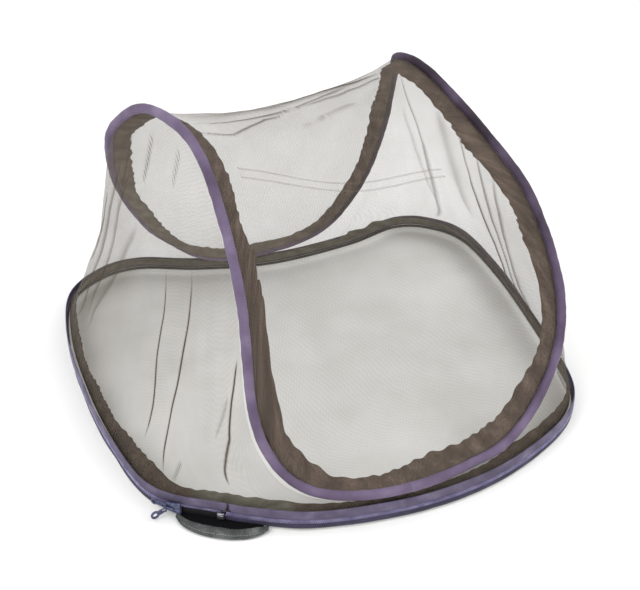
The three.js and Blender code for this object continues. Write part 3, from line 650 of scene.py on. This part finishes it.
def dress(ob, mat, slot, *replaced):
    """Gives a piece its material, and hides the plain solids that it stands for; slot is not used."""
    ob.data.materials.clear()
    ob.data.materials.append(mat)
    if replaced:
        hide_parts(*replaced)
    return ob


# Floor cloth
F = np.arange(FLOOR_STEPS) / FLOOR_STEPS
S = zip_at(F)


def floor_lift(x, y):
    """How high the soft creases lift the floor cloth."""
    h = np.zeros_like(x)
    for x0, y0, x1, y1, wide, high in CREASES_FLOOR:
        dx, dy = x1 - x0, y1 - y0
        k = np.clip(((x - x0) * dx + (y - y0) * dy) / (dx * dx + dy * dy), 0, 1)
        d = np.hypot(x - x0 - dx * k, y - y0 - dy * k)
        h += high * np.exp(-((d / wide) ** 2))
    return h


wall = [rim(S, -2.2, WALL_TOP), rim(S, -2.1, 7.0), rim(S, -2.4, 4.6), rim(S, -4.2, 2.6), rim(S, -8.0, 1.5),
        rim(S, -FLOOR_INSET, 1.0)]
edge = rim(S, -FLOOR_INSET, 0)
for r in np.linspace(0.97, 0.03, 46):
    q = edge * r
    q[:, 2] = 1.0 + floor_lift(q[:, 0], q[:, 1])
    wall.append(q)
grid = np.stack(wall, 1)
fine = wobble(grid, 45, 3.1) * 0.35 + wobble(grid, 16, 9.2) * 0.12
grid[:, 6:, 2] += np.clip(fine[:, 6:] + 0.2, -0.05, 1.0)
floor_ob = cloth("floor_cloth", grid, True, grid[..., :2].copy(), 1.8, middle=(0, 0, 1.2),
                 outward=lambda c: (0, 0, 1))
dress(floor_ob, FLOOR, "floor_cloth", "floor_tray")


# Zip tapes
def along_uv(s, across):
    """A map in millimetres: lengths along a strip, and places across it."""
    return np.stack(np.broadcast_arrays(s[:, None], across[None, :]), -1).astype(float)


S4 = np.linspace(0, base.total, TAPE_STEPS, endpoint=False)


def nearest(x, y):
    """Length along the zip where it passes closest to x, y."""
    s = np.arange(0, base.total, 0.5)
    p = base.at(s)
    return float(s[np.argmin(np.hypot(p[:, 0] - x, p[:, 1] - y))])


HANDLE_AT, BOX_AT = nearest(-237, -211), nearest(-197, -239)
SLIDER_AT = HANDLE_AT - 7.5


def tape(name, outs, hide, mat, slot, node):
    """A tape from its rows (out, z), bottom first; hide(s, z) is where shade is painted on it."""
    zs = np.array([z for _, z in outs])
    g = np.stack([rim(S4, o, z) for o, z in outs], 1)
    wave = wobble(g, 38, 5.5) * 0.35
    g[..., 0] += wave
    g[..., 1] += wave
    shade = hide(S4[:, None], np.broadcast_to(zs[None, :], g.shape[:2]))
    ob = cloth(name, g, True, along_uv(S4, zs), 0.9, marks={"shade": shade},
               outward=lambda c: (c[0], c[1], 0))
    dress(ob, mat, slot, node)


def notch(s, z):
    """Painted shade: dark behind the coil, and in the V where the tape turns in past the box end."""
    v = np.abs(s - BOX_AT - 7.5) < 0.7 + (TAPE_HIGH - z) / 12 * 2.6
    return np.maximum(1 - smooth(16.6, 17.4, z), v.astype(float))


def open_part(s, z):
    """Painted shade: dark behind the coil and in the open stretch from the slider to the box end."""
    gap = smooth(SLIDER_AT + 6, SLIDER_AT + 9, s) * (1 - smooth(BOX_AT + 2, BOX_AT + 6, s))
    return np.maximum(smooth(10.4, 11.2, z), gap)


UPPER_ROWS = [(-1.7, 14.6), (-1.5, 16.0), (-0.7, 17.0), (0.2, 17.6), (0.4, 19.5), (0.45, 21.5), (0.4, 23.5),
              (0.25, 25.5), (0.0, 27.5), (-0.4, TAPE_HIGH)]
LOWER_ROWS = [(0.0, 4.0), (0.2, 6.0), (0.2, 8.0), (0.2, 9.8), (-0.5, 10.8), (-1.4, 11.6), (-1.6, 13.6)]
tape("zip_tape_above", UPPER_ROWS, notch, TAPE_UP, "zip_tape", "zip_upper_tape")
tape("zip_tape_below", LOWER_ROWS, open_part, TAPE_DOWN, "zip_tape_dark", "zip_lower_tape")


def alone():
    """Leaves nothing selected, so that an operator works on the next piece only."""
    bpy.ops.object.select_all(action="DESELECT")


def modelled(name):
    """Takes the active object as a finished piece: place in the mesh, object at the origin."""
    ob = bpy.context.object
    ob.name = ob.data.name = name
    bpy.ops.object.transform_apply(location=True, rotation=True, scale=True)
    return ob


def seat(ob, s):
    """Moves a piece made with x along the zip, y out and z up to length s of the base."""
    p, t = base.at(s), base.tangent(s)
    m = Matrix(((t[0], t[1], 0, p[0] * MM), (t[1], -t[0], 0, p[1] * MM), (0, 0, 1, 0), (0, 0, 0, 1)))
    ob.data.transform(m)
    ob.data.update()
    face_out(ob.data)


def taken():
    """Corners and faces of the active object, which is removed."""
    ob = bpy.context.object
    corners = np.array([v.co[:] for v in ob.data.vertices])
    faces = [tuple(p.vertices) for p in ob.data.polygons]
    bpy.data.objects.remove(ob)
    return corners, faces


def copies(name, shape, shape_faces, at, ways):
    """One mesh of a small shape's copies: each stands at its point, its x, y and z along its three ways."""
    grid = at[:, None, :] + sum(shape[None, :, k, None] * ways[k][:, None, :] for k in range(3))
    faces = [tuple(c * len(shape) + v for v in f) for c in range(len(at)) for f in shape_faces]
    mesh = bpy.data.meshes.new(name)
    mesh.from_pydata([tuple(q * MM) for q in grid.reshape(-1, 3)], [], faces)
    mesh.update()
    return clean_object(name, mesh)


# Zip coil: one tooth, copied along the chain
TOOTH, TOOTH_PITCH, TOOTH_LEAN = (1.4, 2.3, 3.0), 2.6, 0.25


def one_tooth():
    """A small block with softened edges."""
    alone()
    bpy.ops.mesh.primitive_cube_add(size=1, location=(0, 0, 0))
    ob = bpy.context.object
    ob.scale = Vector(TOOTH) * MM
    bpy.ops.object.transform_apply(location=True, rotation=True, scale=True)
    bev = ob.modifiers.new("round", "BEVEL")
    bev.width = 0.4 * MM
    bev.segments = 1
    bpy.ops.object.modifier_apply(modifier="round")
    return taken()


tooth, tooth_faces = one_tooth()


def coil(name, s0, s1, rows, node):
    """Teeth at even steps from length s0 to s1; each row has a height, a shift along the zip and a lean."""
    parts = []
    for z, shift, lean in rows:
        s = np.arange(s0 + shift, s1, TOOTH_PITCH)
        t = base.tangent(s)
        out = np.stack([t[:, 1], -t[:, 0], 0 * s], -1)
        parts.append((base.at(s) + np.array([0, 0, z]), t, out, np.array([0, 0, 1.0]) + lean * t))
    at, *ways = [np.concatenate(group) for group in zip(*parts)]
    ob = copies(name, tooth / MM, tooth_faces, at, ways)
    face_out(ob.data)
    return dress(ob, COIL, "zip_coil", node)


coil("coil_closed", BOX_AT + 5.5, SLIDER_AT + base.total - 4,
     [(12.5, 0.0, TOOTH_LEAN), (15.5, 1.3, -TOOTH_LEAN)], "zip_chain")
coil("coil_open", SLIDER_AT + 4, BOX_AT - 0.5, [(15.5, 0.6, -TOOTH_LEAN)], "zip_chain_open")

# Ring binding
RS = np.arange(RING_STEPS) / RING_STEPS
sr = ring.place(RS)
rc, rt = ring.at(sr), ring.tangent(sr)
inward = top_point(RS, np.full_like(RS, 0.97)) - rc
inward -= rt * (inward * rt).sum(-1, keepdims=True)
inward /= np.linalg.norm(inward, axis=-1, keepdims=True)
third = np.cross(rt, inward)
SIDES = 20
ang = 2 * np.pi * np.arange(SIDES) / SIDES
# Two laps run along the tube where the folded tape is stitched, at these turns round it
LAPS, LAP_WIDE, LAP_DEEP = (0.35, 5.93), 0.16, 0.10
lap_r = TUBE_R * (0.95 - LAP_DEEP * sum(np.exp(-(((ang - at) / LAP_WIDE) ** 2)) for at in LAPS))
tube = rc[:, None, :] + (inward[:, None, :] * np.cos(ang)[None, :, None]
                         + third[:, None, :] * np.sin(ang)[None, :, None]) * lap_r[None, :, None]
pucker = wobble(tube, 9, 1.7) * 0.35 + wobble(tube, 26, 4.4) * 0.3
tube += (tube - rc[:, None, :]) * (pucker / TUBE_R)[..., None]
# Painted shade: the binding is darker along the right arch of the ring, with painted highlight along the left
shade = 0.75 - 0.55 * smooth(0.02, 0.30, RS) * (1 - smooth(0.40, 0.55, RS))
shade = np.repeat(shade[:, None], SIDES + 1, 1)
tube = np.concatenate([tube, tube[:, :1]], 1)
uv = along_uv(sr, np.arange(SIDES + 1) * 2 * np.pi * TUBE_R / SIDES)
ring_ob = cloth("wire_ring_binding", tube, True, uv, marks={"shade": shade})
face_out(ring_ob.data, merge=True)
dress(ring_ob, BINDING, "binding_cloth", "ring_binding")

# Top net
edge_r = clear_of_ring(NET_SEAM)
free_w = STRIP_W * strip_wave(np.arange(STATIONS), 1.0, 0.4)
free_r = clear_of_ring(TUBE_R + NET / 2 + GAP + free_w)
TF = np.arange(NET_STEPS) / NET_STEPS
rows = np.concatenate([np.linspace(0, 0.2, 14), np.linspace(0.22, 0.985, 50)])
rr = edge_r(TF)[:, None] * (1 - rows)[None, :]
top = top_point(TF[:, None], rr)
nt_top = normals(top, True)
top_u, top_w = turned(top[..., 0], top[..., 1])
uv = np.stack([top_u, top_w * 1.35], -1)
small = wobble(top, 60, 2.2) * 1.6 + wobble(top, 22, 8.8) * 0.5
small *= smooth(0.0, 0.06, 1 - rr)
dense, rise = pleat(top, PLEATS_TOP, on_top)
# The net is gathered a little more behind the ridge, and lies thinner in front
dense += 0.15 * smooth(-20, 60, top_w) - 0.03
top = top + nt_top * (small + rise)[..., None]
net_top = cloth("net_over_the_ring", top, True, uv, middle=(RIDGE_X, RIDGE_Y, float(top[:, -1, 2].mean())),
                marks={"dense": dense}, outward=lambda c: (0, 0, 1))
dress(net_top, NET_MAT, "sheer_net", "net_top")

# Flat seam across the top net: a doubled strip of net whose two stitched edges show
SEAM_LONG, SEAM_HALF = 251, 5.2
k = np.linspace(0, 1, 160)
sw = np.linspace(-1, 1, 9)
mid_u, mid_w = -131 + SEAM_LONG * k, -36 - 46 * k + 3 * np.sin(k * 9)
seam = on_top(mid_u[:, None] + 0 * sw, mid_w[:, None] + SEAM_HALF * sw[None, :])
seam = seam + np.array([0, 0, 1.1]) + (wobble(seam, 60, 2.2) * 1.2)[..., None] * np.array([0, 0, 1.0])
marks = {"dense": np.broadcast_to(0.40 * (np.abs(sw) > 0.6)[None, :] - 0.34, seam.shape[:2]).copy()}
seam_ob = cloth("net_flat_seam", seam, False, along_uv(SEAM_LONG * k, SEAM_HALF * sw), marks=marks,
                outward=lambda c: (0, 0, 1))
dress(seam_ob, NET_MAT, "sheer_net")

# End nets
erows = np.linspace(0, 1, 58)


def end_start(f, dist):
    """Fraction of an end panel where it clears the ring's middle by dist."""
    a = ring.at(ring.place(f))
    b = rim(zip_at(f), -FOOT_IN, FOOT_Z)
    span = np.linalg.norm(b - a, axis=-1)
    c = ((b - a) * ring.tangent(ring.place(f))).sum(-1) / span
    return dist / np.sqrt(np.maximum(1 - c * c, 0.05)) / span


def end_net(name, first, node, lines, lean):
    """An end net from its half of the ring, which begins at place first, down to the zip.
    Its columns lean with the pleats, so that a pleat runs down one column."""
    ef = first + np.linspace(0.0005, 0.4995, NET_STEPS)
    st = end_start(ef, NET_SEAM)
    tt = st[:, None] + (1 - st[:, None]) * erows[None, :]
    v = 2 * (ef - first)
    slant = lean * smooth(0.35, 0.66, v) * (1 - smooth(0.70, 1.0, v))
    fv = ef[:, None] + slant[:, None] * (erows[None, :] - 0.5) / 2
    g = end_point(fv, tt)
    nn = normals(g, False)
    small = wobble(g, 70, 6.1) * 1.6 + wobble(g, 24, 7.7) * 0.5
    small *= smooth(0, 0.12, tt - st[:, None]) * smooth(0, 0.12, 1 - tt)
    dense, rise = pleat(g, lines, lambda v, t: end_point(first + v / 2, t))
    # It is gathered more where it hangs steep, at the start of its half of the ring
    dense += (0.16 * (1 - smooth(0.42, 0.60, v)))[:, None]
    g = g + nn * (small + rise)[..., None]
    flat_u = ring.place(fv) * (1 - tt) + zip_at(fv) * tt
    span = np.linalg.norm(g[:, -1] - g[:, 0], axis=-1)
    uv = np.stack([flat_u, tt * span[:, None]], -1)
    ob = cloth(name, g, False, uv, marks={"dense": dense}, outward=lambda c: (c[0], c[1], 0.1))
    dress(ob, NET_MAT, "sheer_net", node)


end_net("net_right_end", 0.0, "net_right", PLEATS_RIGHT, -0.12)
end_net("net_left_end", 0.5, "net_left", PLEATS_LEFT, 0.28)

# Seam strips
sides = np.linspace(0, 1, 6)
SF = np.arange(STRIP_STEPS) / STRIP_STEPS


def ragged(f, seed):
    """Uneven free edge of a gathered strip: short teeth on longer waves, from about -1 to 1."""
    lap = 2 * np.pi * f
    teeth = 0.5 * np.sin(lap * 131 + 3 * np.sin(lap * 17 + seed)) + 0.35 * np.sin(lap * 83 + seed)
    return teeth + 0.5 * np.sin(lap * 29 + 2 * seed)


def seam_strip(name, q, away, ripples, run, shade, mat, node):
    """A gathered strip over rows of points, lifted off the net on the side that turns from away."""
    nq = normals(q, True)
    nq *= np.where((nq * away).sum(-1, keepdims=True) > 0, -1, 1)
    ripple = sum(wobble(q, size, seed) * high for size, seed, high in ripples)
    q = q + nq * (STRIP_LIFT + ripple * smooth(0.1, 0.7, sides)[None, :] * 0.9)[..., None]
    ob = cloth(name, q, True, along_uv(run, sides * STRIP_W), 0.8, marks={"shade": shade(q)})
    dress(ob, mat, "strip_cloth", node)


r0, r1 = clear_of_ring(TUBE_R - 2.0)(SF), free_r(SF)
r1 = r1 + (r0 - r1) * 0.065 * ragged(SF, 0.7)
rr = r0[:, None] + (r1 - r0)[:, None] * sides[None, :]
far = smooth(0.42, 0.52, SF) * (1 - smooth(0.62, 0.72, SF))
seam_strip("ring_strip", top_point(np.broadcast_to(SF[:, None], rr.shape), rr), np.array([0, 0, 1.0]),
           [(9, 3.3, 0.5), (40, 5.9, 0.4)], ring.place(SF), lambda q: np.repeat(far[:, None], len(sides), 1),
           STRIP_RING, "ring_seam_strip")

span = np.linalg.norm(ring.at(ring.place(SF)) - rim(zip_at(SF), -FOOT_IN, FOOT_Z), axis=-1)
want = STRIP_W * 1.15 * strip_wave(SF * STATIONS, 0.8, 1.7)
# Two raised puckers of the strip where it turns the back right corner
for (px, py), high in (((150, 270), 12), ((188, 282), 8)):
    want = want + high * np.exp(-(((zip_at(SF) - nearest(px, py)) / 10) ** 2))
want = np.minimum(want / span, 1 - end_start(SF, TUBE_R + 3.0))
tt = 1 - (want * (1 + 0.06 * ragged(SF, 2.1)))[:, None] * sides[None, :]
outw = rim(zip_at(SF), 1, 0) - rim(zip_at(SF), 0, 0)


def olive(q):
    """Where the strip shows paler and greener: over the handle, and along the back."""
    front = smooth(-232, -212, q[..., 0]) * (1 - smooth(-128, -116, q[..., 0])) * (q[..., 1] < -150)
    return np.maximum(front, 0.75 * smooth(120, 230, q[..., 1]))


seam_strip("base_strip", end_point(np.broadcast_to(SF[:, None], tt.shape), tt), outw[:, None, :],
           [(10, 2.7, 0.5), (45, 1.9, 0.4)], zip_at(SF), olive, STRIP_BASE, "base_seam_strip")

# Slider, pulls and box end
def block(size, at, soft, squeeze=None):
    """A cube of the given size in millimetres with softened edges; squeeze narrows its left end."""
    alone()
    bpy.ops.mesh.primitive_cube_add(size=1, location=Vector(at) * MM)
    ob = bpy.context.object
    ob.scale = Vector(size) * MM
    bpy.ops.object.transform_apply(location=False, rotation=False, scale=True)
    if squeeze:
        for v in ob.data.vertices:
            v.select = v.co.x < 0
        for group in (ob.data.edges, ob.data.polygons):
            for part in group:
                part.select = all(ob.data.vertices[i].select for i in part.vertices)
        bpy.ops.object.mode_set(mode="EDIT")
        bpy.ops.transform.resize(value=(1, 1, squeeze), center_override=ob.location)
        bpy.ops.object.mode_set(mode="OBJECT")
    bev = ob.modifiers.new("soft", "BEVEL")
    bev.width = soft * MM
    bev.segments = 3
    bpy.ops.object.modifier_apply(modifier="soft")
    return ob


def rod(radius, length, at, axis="Y", sides=32):
    """A round bar along the zip's out direction, or upright where axis is Z."""
    alone()
    turn = (0, 0, 0) if axis == "Z" else (math.pi / 2, 0, 0)
    bpy.ops.mesh.primitive_cylinder_add(vertices=sides, radius=radius * MM, depth=length * MM,
                                        location=Vector(at) * MM, rotation=turn)
    return bpy.context.object


def combine(body, other, how):
    """Joins other to body, or cuts it out, and removes it."""
    mod = body.modifiers.new("cut", "BOOLEAN")
    mod.operation = how
    mod.solver = "EXACT"
    mod.object = other
    alone()
    body.select_set(True)
    bpy.context.view_layer.objects.active = body
    bpy.ops.object.modifier_apply(modifier="cut")
    bpy.data.objects.remove(other)
    return body


def finish_hard(ob, name, soft, mat, slot, node, s, pose=None):
    """Softens the edges, places the piece on the zip and dresses it."""
    alone()
    ob.select_set(True)
    bpy.context.view_layer.objects.active = ob
    if soft:
        bev = ob.modifiers.new("soft", "BEVEL")
        bev.width = soft * MM
        bev.segments = 2
        bev.limit_method = "ANGLE"
        bpy.ops.object.modifier_apply(modifier="soft")
    bpy.ops.object.shade_smooth_by_angle(angle=math.radians(35))
    ob = modelled(name)
    if pose is not None:
        ob.data.transform(pose)
    seat(ob, s)
    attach(ob, ROOT)
    return dress(ob, mat, slot, node)


CHAIN_MID = (CHAIN_LOW + CHAIN_HIGH) / 2
SLIDER_LONG, SLIDER_HIGH, SLIDER_PLATE, SLIDER_OFF = 21.5, 16.0, 3.2, 2.4
plate_y = SLIDER_OFF + SLIDER_PLATE / 2 + 0.3
body = block((SLIDER_LONG, SLIDER_PLATE + 0.8, SLIDER_HIGH), (0, plate_y, CHAIN_MID), 1.3, 0.62)
body = combine(body, block((4, 6.0, 4.4), (0, 0.5, CHAIN_MID), 0.5), "UNION")
body = combine(body, block((11, 1.2, 7), (0.5, -2.75, CHAIN_MID + 0.2), 0.4), "UNION")
# The bridge that holds both pulls is an arch: a bar with a round channel under it
body = combine(body, block((10.5, 3.4, 3.6), (-2, plate_y + 3.0, CHAIN_MID), 1.1), "UNION")
body = combine(body, rod(1.1, 8, (-5.0, plate_y + 2.6, CHAIN_MID), "Z"), "DIFFERENCE")
# A shallow press mark either side of the bridge
for rise in (4.2, -4.2):
    body = combine(body, block((9, 1.2, 1.2), (1.5, plate_y + 2.0, CHAIN_MID + rise), 0.4), "DIFFERENCE")
finish_hard(body, "slider_body", 0.25, ENAMEL, "painted_slider", "zip_slider", SLIDER_AT)

PULL_OUT = SLIDER_OFF + SLIDER_PLATE + 0.6 + 3.2
PULL_UNDER, PULL_THICK = 2.0, 1.6


def pull(name, length, width, hole, tilt, swing, at, node):
    """A flat tab: hinge bar, waisted blade and a round eye with a raised lip."""
    eye_x, mid_y = -length + width / 2, -PULL_THICK / 2
    tab = rod(width / 2, PULL_THICK, (eye_x, mid_y, 0))
    blade_long = length - width * 0.8 + PULL_UNDER
    blade = block((blade_long, 1.5, width * 0.66), (PULL_UNDER - blade_long / 2, mid_y, 0), 0.4)
    tab = combine(tab, blade, "UNION")
    tab = combine(tab, rod(1.0, width * 0.72, (PULL_UNDER - 1.0, mid_y, 0), "Z", 20), "UNION")
    alone()
    bpy.ops.mesh.primitive_torus_add(major_radius=(hole / 2 + 0.9) * MM, minor_radius=0.75 * MM,
                                     major_segments=36, minor_segments=10,
                                     location=Vector((eye_x, -0.3, 0)) * MM, rotation=(math.pi / 2, 0, 0))
    tab = combine(tab, bpy.context.object, "UNION")
    tab = combine(tab, rod(hole / 2, 8, (eye_x, 0, 0)), "DIFFERENCE")
    tab = combine(tab, block((4.5, 4, width * 0.26), (-1.0, mid_y, 0), 0.4), "DIFFERENCE")
    pose = Matrix.Translation(Vector(at) * MM)
    pose = pose @ Matrix.Rotation(math.radians(swing), 4, "Z") @ Matrix.Rotation(math.radians(tilt), 4, "Y")
    return finish_hard(tab, name, 0.2, ENAMEL, "painted_slider", node, SLIDER_AT, pose)


pull("pull_upper", 17.5, 9, 5, 9, 4.6, (-7.6, PULL_OUT + 0.2, CHAIN_MID + 4), "zip_pull_upper")
pull("pull_lower", 17.5, 10.5, 5.6, -11.5, -50, (-7.5, PULL_OUT - 0.7, CHAIN_MID - 3.2), "zip_pull_lower")

end = block((8, 3, 8), (0, 3.6, 12.5), 0.5)
end = combine(end, block((6.2, 1.2, 1.4), (0, 5.2, 14.2), 0.3), "DIFFERENCE")
end = combine(end, rod(0.7, 3, (2.2, 5.0, 10.6), "Y", 16), "DIFFERENCE")
finish_hard(end, "zip_box_end", 0.2, SILVER, "silver_metal", "zip_box", BOX_AT)

# Handle
# Its bound edge: along the zip from the slider, outer edge (out, z), inner edge (out, z)
GRIP_ROWS = [
    (-3, 8, 3.2, 1.4, 4.8), (8, 18, 2.2, 9, 4.4), (26, 25, 1.6, 14, 5.4), (48, 27, 1.6, 14.5, 5.2),
    (70, 25, 1.6, 13.5, 5.2), (90, 18, 2.0, 6.5, 5.6), (104, 7, 4.2, 1.4, 5.8),
]
# Webbing inside it: along, out, width, z
WEB_ROWS = [
    (0, 3.0, 3.8, 5.2), (10, 5.4, 8.6, 5.0), (28, 7.4, 12.4, 4.6), (48, 7.8, 13.0, 4.6), (68, 7.4, 12.0, 4.6),
    (90, 4.4, 5.4, 5.4), (98, 2.6, 3.0, 5.6),
]


def open_curve(rows, count):
    """A smooth open curve through rows, at count even places between its rows."""
    p = np.array(rows, float)
    p = np.vstack([2 * p[0] - p[1], p, 2 * p[-1] - p[-2]])
    k = np.linspace(0, len(rows) - 1, count)
    i = np.minimum(k.astype(int), len(rows) - 2)
    return between(p[i], p[i + 1], p[i + 2], p[i + 3], (k - i)[:, None])


def on_zip(rows, out_z):
    """Points along the handle, at each row's length from the slider; out_z picks its columns."""
    s = HANDLE_AT + np.array([r[0] for r in rows], float)
    oz = np.array([out_z(r) for r in rows], float)
    return rim(s, oz[:, 0], oz[:, 1])


NG = 120
outer = open_curve(on_zip(GRIP_ROWS, lambda r: (r[1], r[2])), NG)
inner = open_curve(on_zip(GRIP_ROWS, lambda r: (r[3], r[4])), NG)
across = np.linspace(0, 1, 15)
swell = np.sin(np.pi * np.linspace(0, 1, NG))[:, None]
g = outer[:, None, :] * (1 - across)[None, :, None] + inner[:, None, :] * across[None, :, None]
round_up = np.sin(np.pi * across)[None, :] * 1.9 * swell
roll = 0.9 * np.exp(-(((across - 0.06) / 0.06) ** 2)) - 0.9 * np.exp(-(((across - 0.26) / 0.05) ** 2))
g[..., 2] += round_up + roll[None, :] + wobble(g, 9, 4.1) * 0.35
grip_uv = along_uv(np.arange(NG) * 1.05, across * 13)
grip = cloth("grip_binding", g, False, grip_uv, 1.4, outward=lambda c: (0, 0, 1))
dress(grip, GRIP, "grip_cloth", "handle_grip")


def stitches(name, path, pitch, size):
    """A row of sewn stitches along a path: one rounded bead, copied."""
    alone()
    bpy.ops.mesh.primitive_uv_sphere_add(segments=8, ring_count=5, radius=1)
    bead, bead_faces = taken()
    step = np.linalg.norm(np.diff(path, axis=0), axis=1)
    run = np.concatenate([[0], np.cumsum(step)])
    at = np.arange(pitch / 2, run[-1], pitch)
    mid = on_path(at, run, path)
    along = on_path(at + 0.5, run, path) - mid
    along /= np.maximum(np.linalg.norm(along, axis=1, keepdims=True), 1e-6)
    up = np.tile([0, 0, 1.0], (len(at), 1))
    ob = copies(name, bead * size, bead_faces, mid, (along, np.cross(up, along), up))
    ob.data.polygons.foreach_set("use_smooth", [True] * len(ob.data.polygons))
    return dress(ob, THREAD, "grip_cloth")


groove = g[3:-3, 4].copy()
groove[:, 2] += 0.75
stitches("grip_stitches", groove, 3.4, (1.2, 0.42, 0.42))

NW = 80
web_out = open_curve(on_zip(WEB_ROWS, lambda r: (r[1] + r[2] / 2, r[3])), NW)
web_in = open_curve(on_zip(WEB_ROWS, lambda r: (r[1] - r[2] / 2, r[3])), NW)
across = np.linspace(0, 1, 13)
g = web_out[:, None, :] * (1 - across)[None, :, None] + web_in[:, None, :] * across[None, :, None]
step_up = 0.55 * (np.abs(across - 0.5) > 0.08) + 0.25 * np.cos((across - 0.5) * 2 * np.pi * 2)
g[..., 2] += step_up[None, :] * np.sin(np.pi * np.linspace(0, 1, NW))[:, None]
web = cloth("black_webbing_loop", g, False, along_uv(np.arange(NW) * 1.0, across * 8.5), 1.3,
            outward=lambda c: (0, 0, 1))
dress(web, BLACK, "webbing", "handle_webbing")

# Floor and light
alone()
bpy.ops.mesh.primitive_plane_add(size=12, location=(0, 0, -0.0004))
bench = bpy.context.object
bench.name = "bench"
PAPER = new_material("plain_pale_paper", 0.95, Specular_IOR_Level=0.1, Base_Color=hex_rgb("#FAFAF9"))[0]
bench.data.materials.append(PAPER)
bench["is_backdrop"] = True

world = bpy.data.worlds.new("soft_white")
scene.world = world
world.use_nodes = True
world.node_tree.nodes["Background"].inputs[0].default_value = hex_rgb("#FFFFFF")
world.node_tree.nodes["Background"].inputs[1].default_value = 0.95


def soft_light(name, at, size, power):
    """A round soft box that faces the object."""
    lamp = bpy.data.lights.new(name, "AREA")
    lamp.shape = "DISK"
    lamp.size = size
    lamp.energy = power
    ob = bpy.data.objects.new(name, lamp)
    ob.location = at
    ob.rotation_euler = (Vector((0, 0, 0.1)) - Vector(at)).to_track_quat("-Z", "Y").to_euler()
    scene.collection.objects.link(ob)


soft_light("soft_box_left", (-1.4, -0.9, 2.2), 1.6, 22)
soft_light("soft_box_right", (1.7, -0.6, 1.9), 1.6, 14)
scene.view_settings.view_transform = "Standard"

low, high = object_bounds()
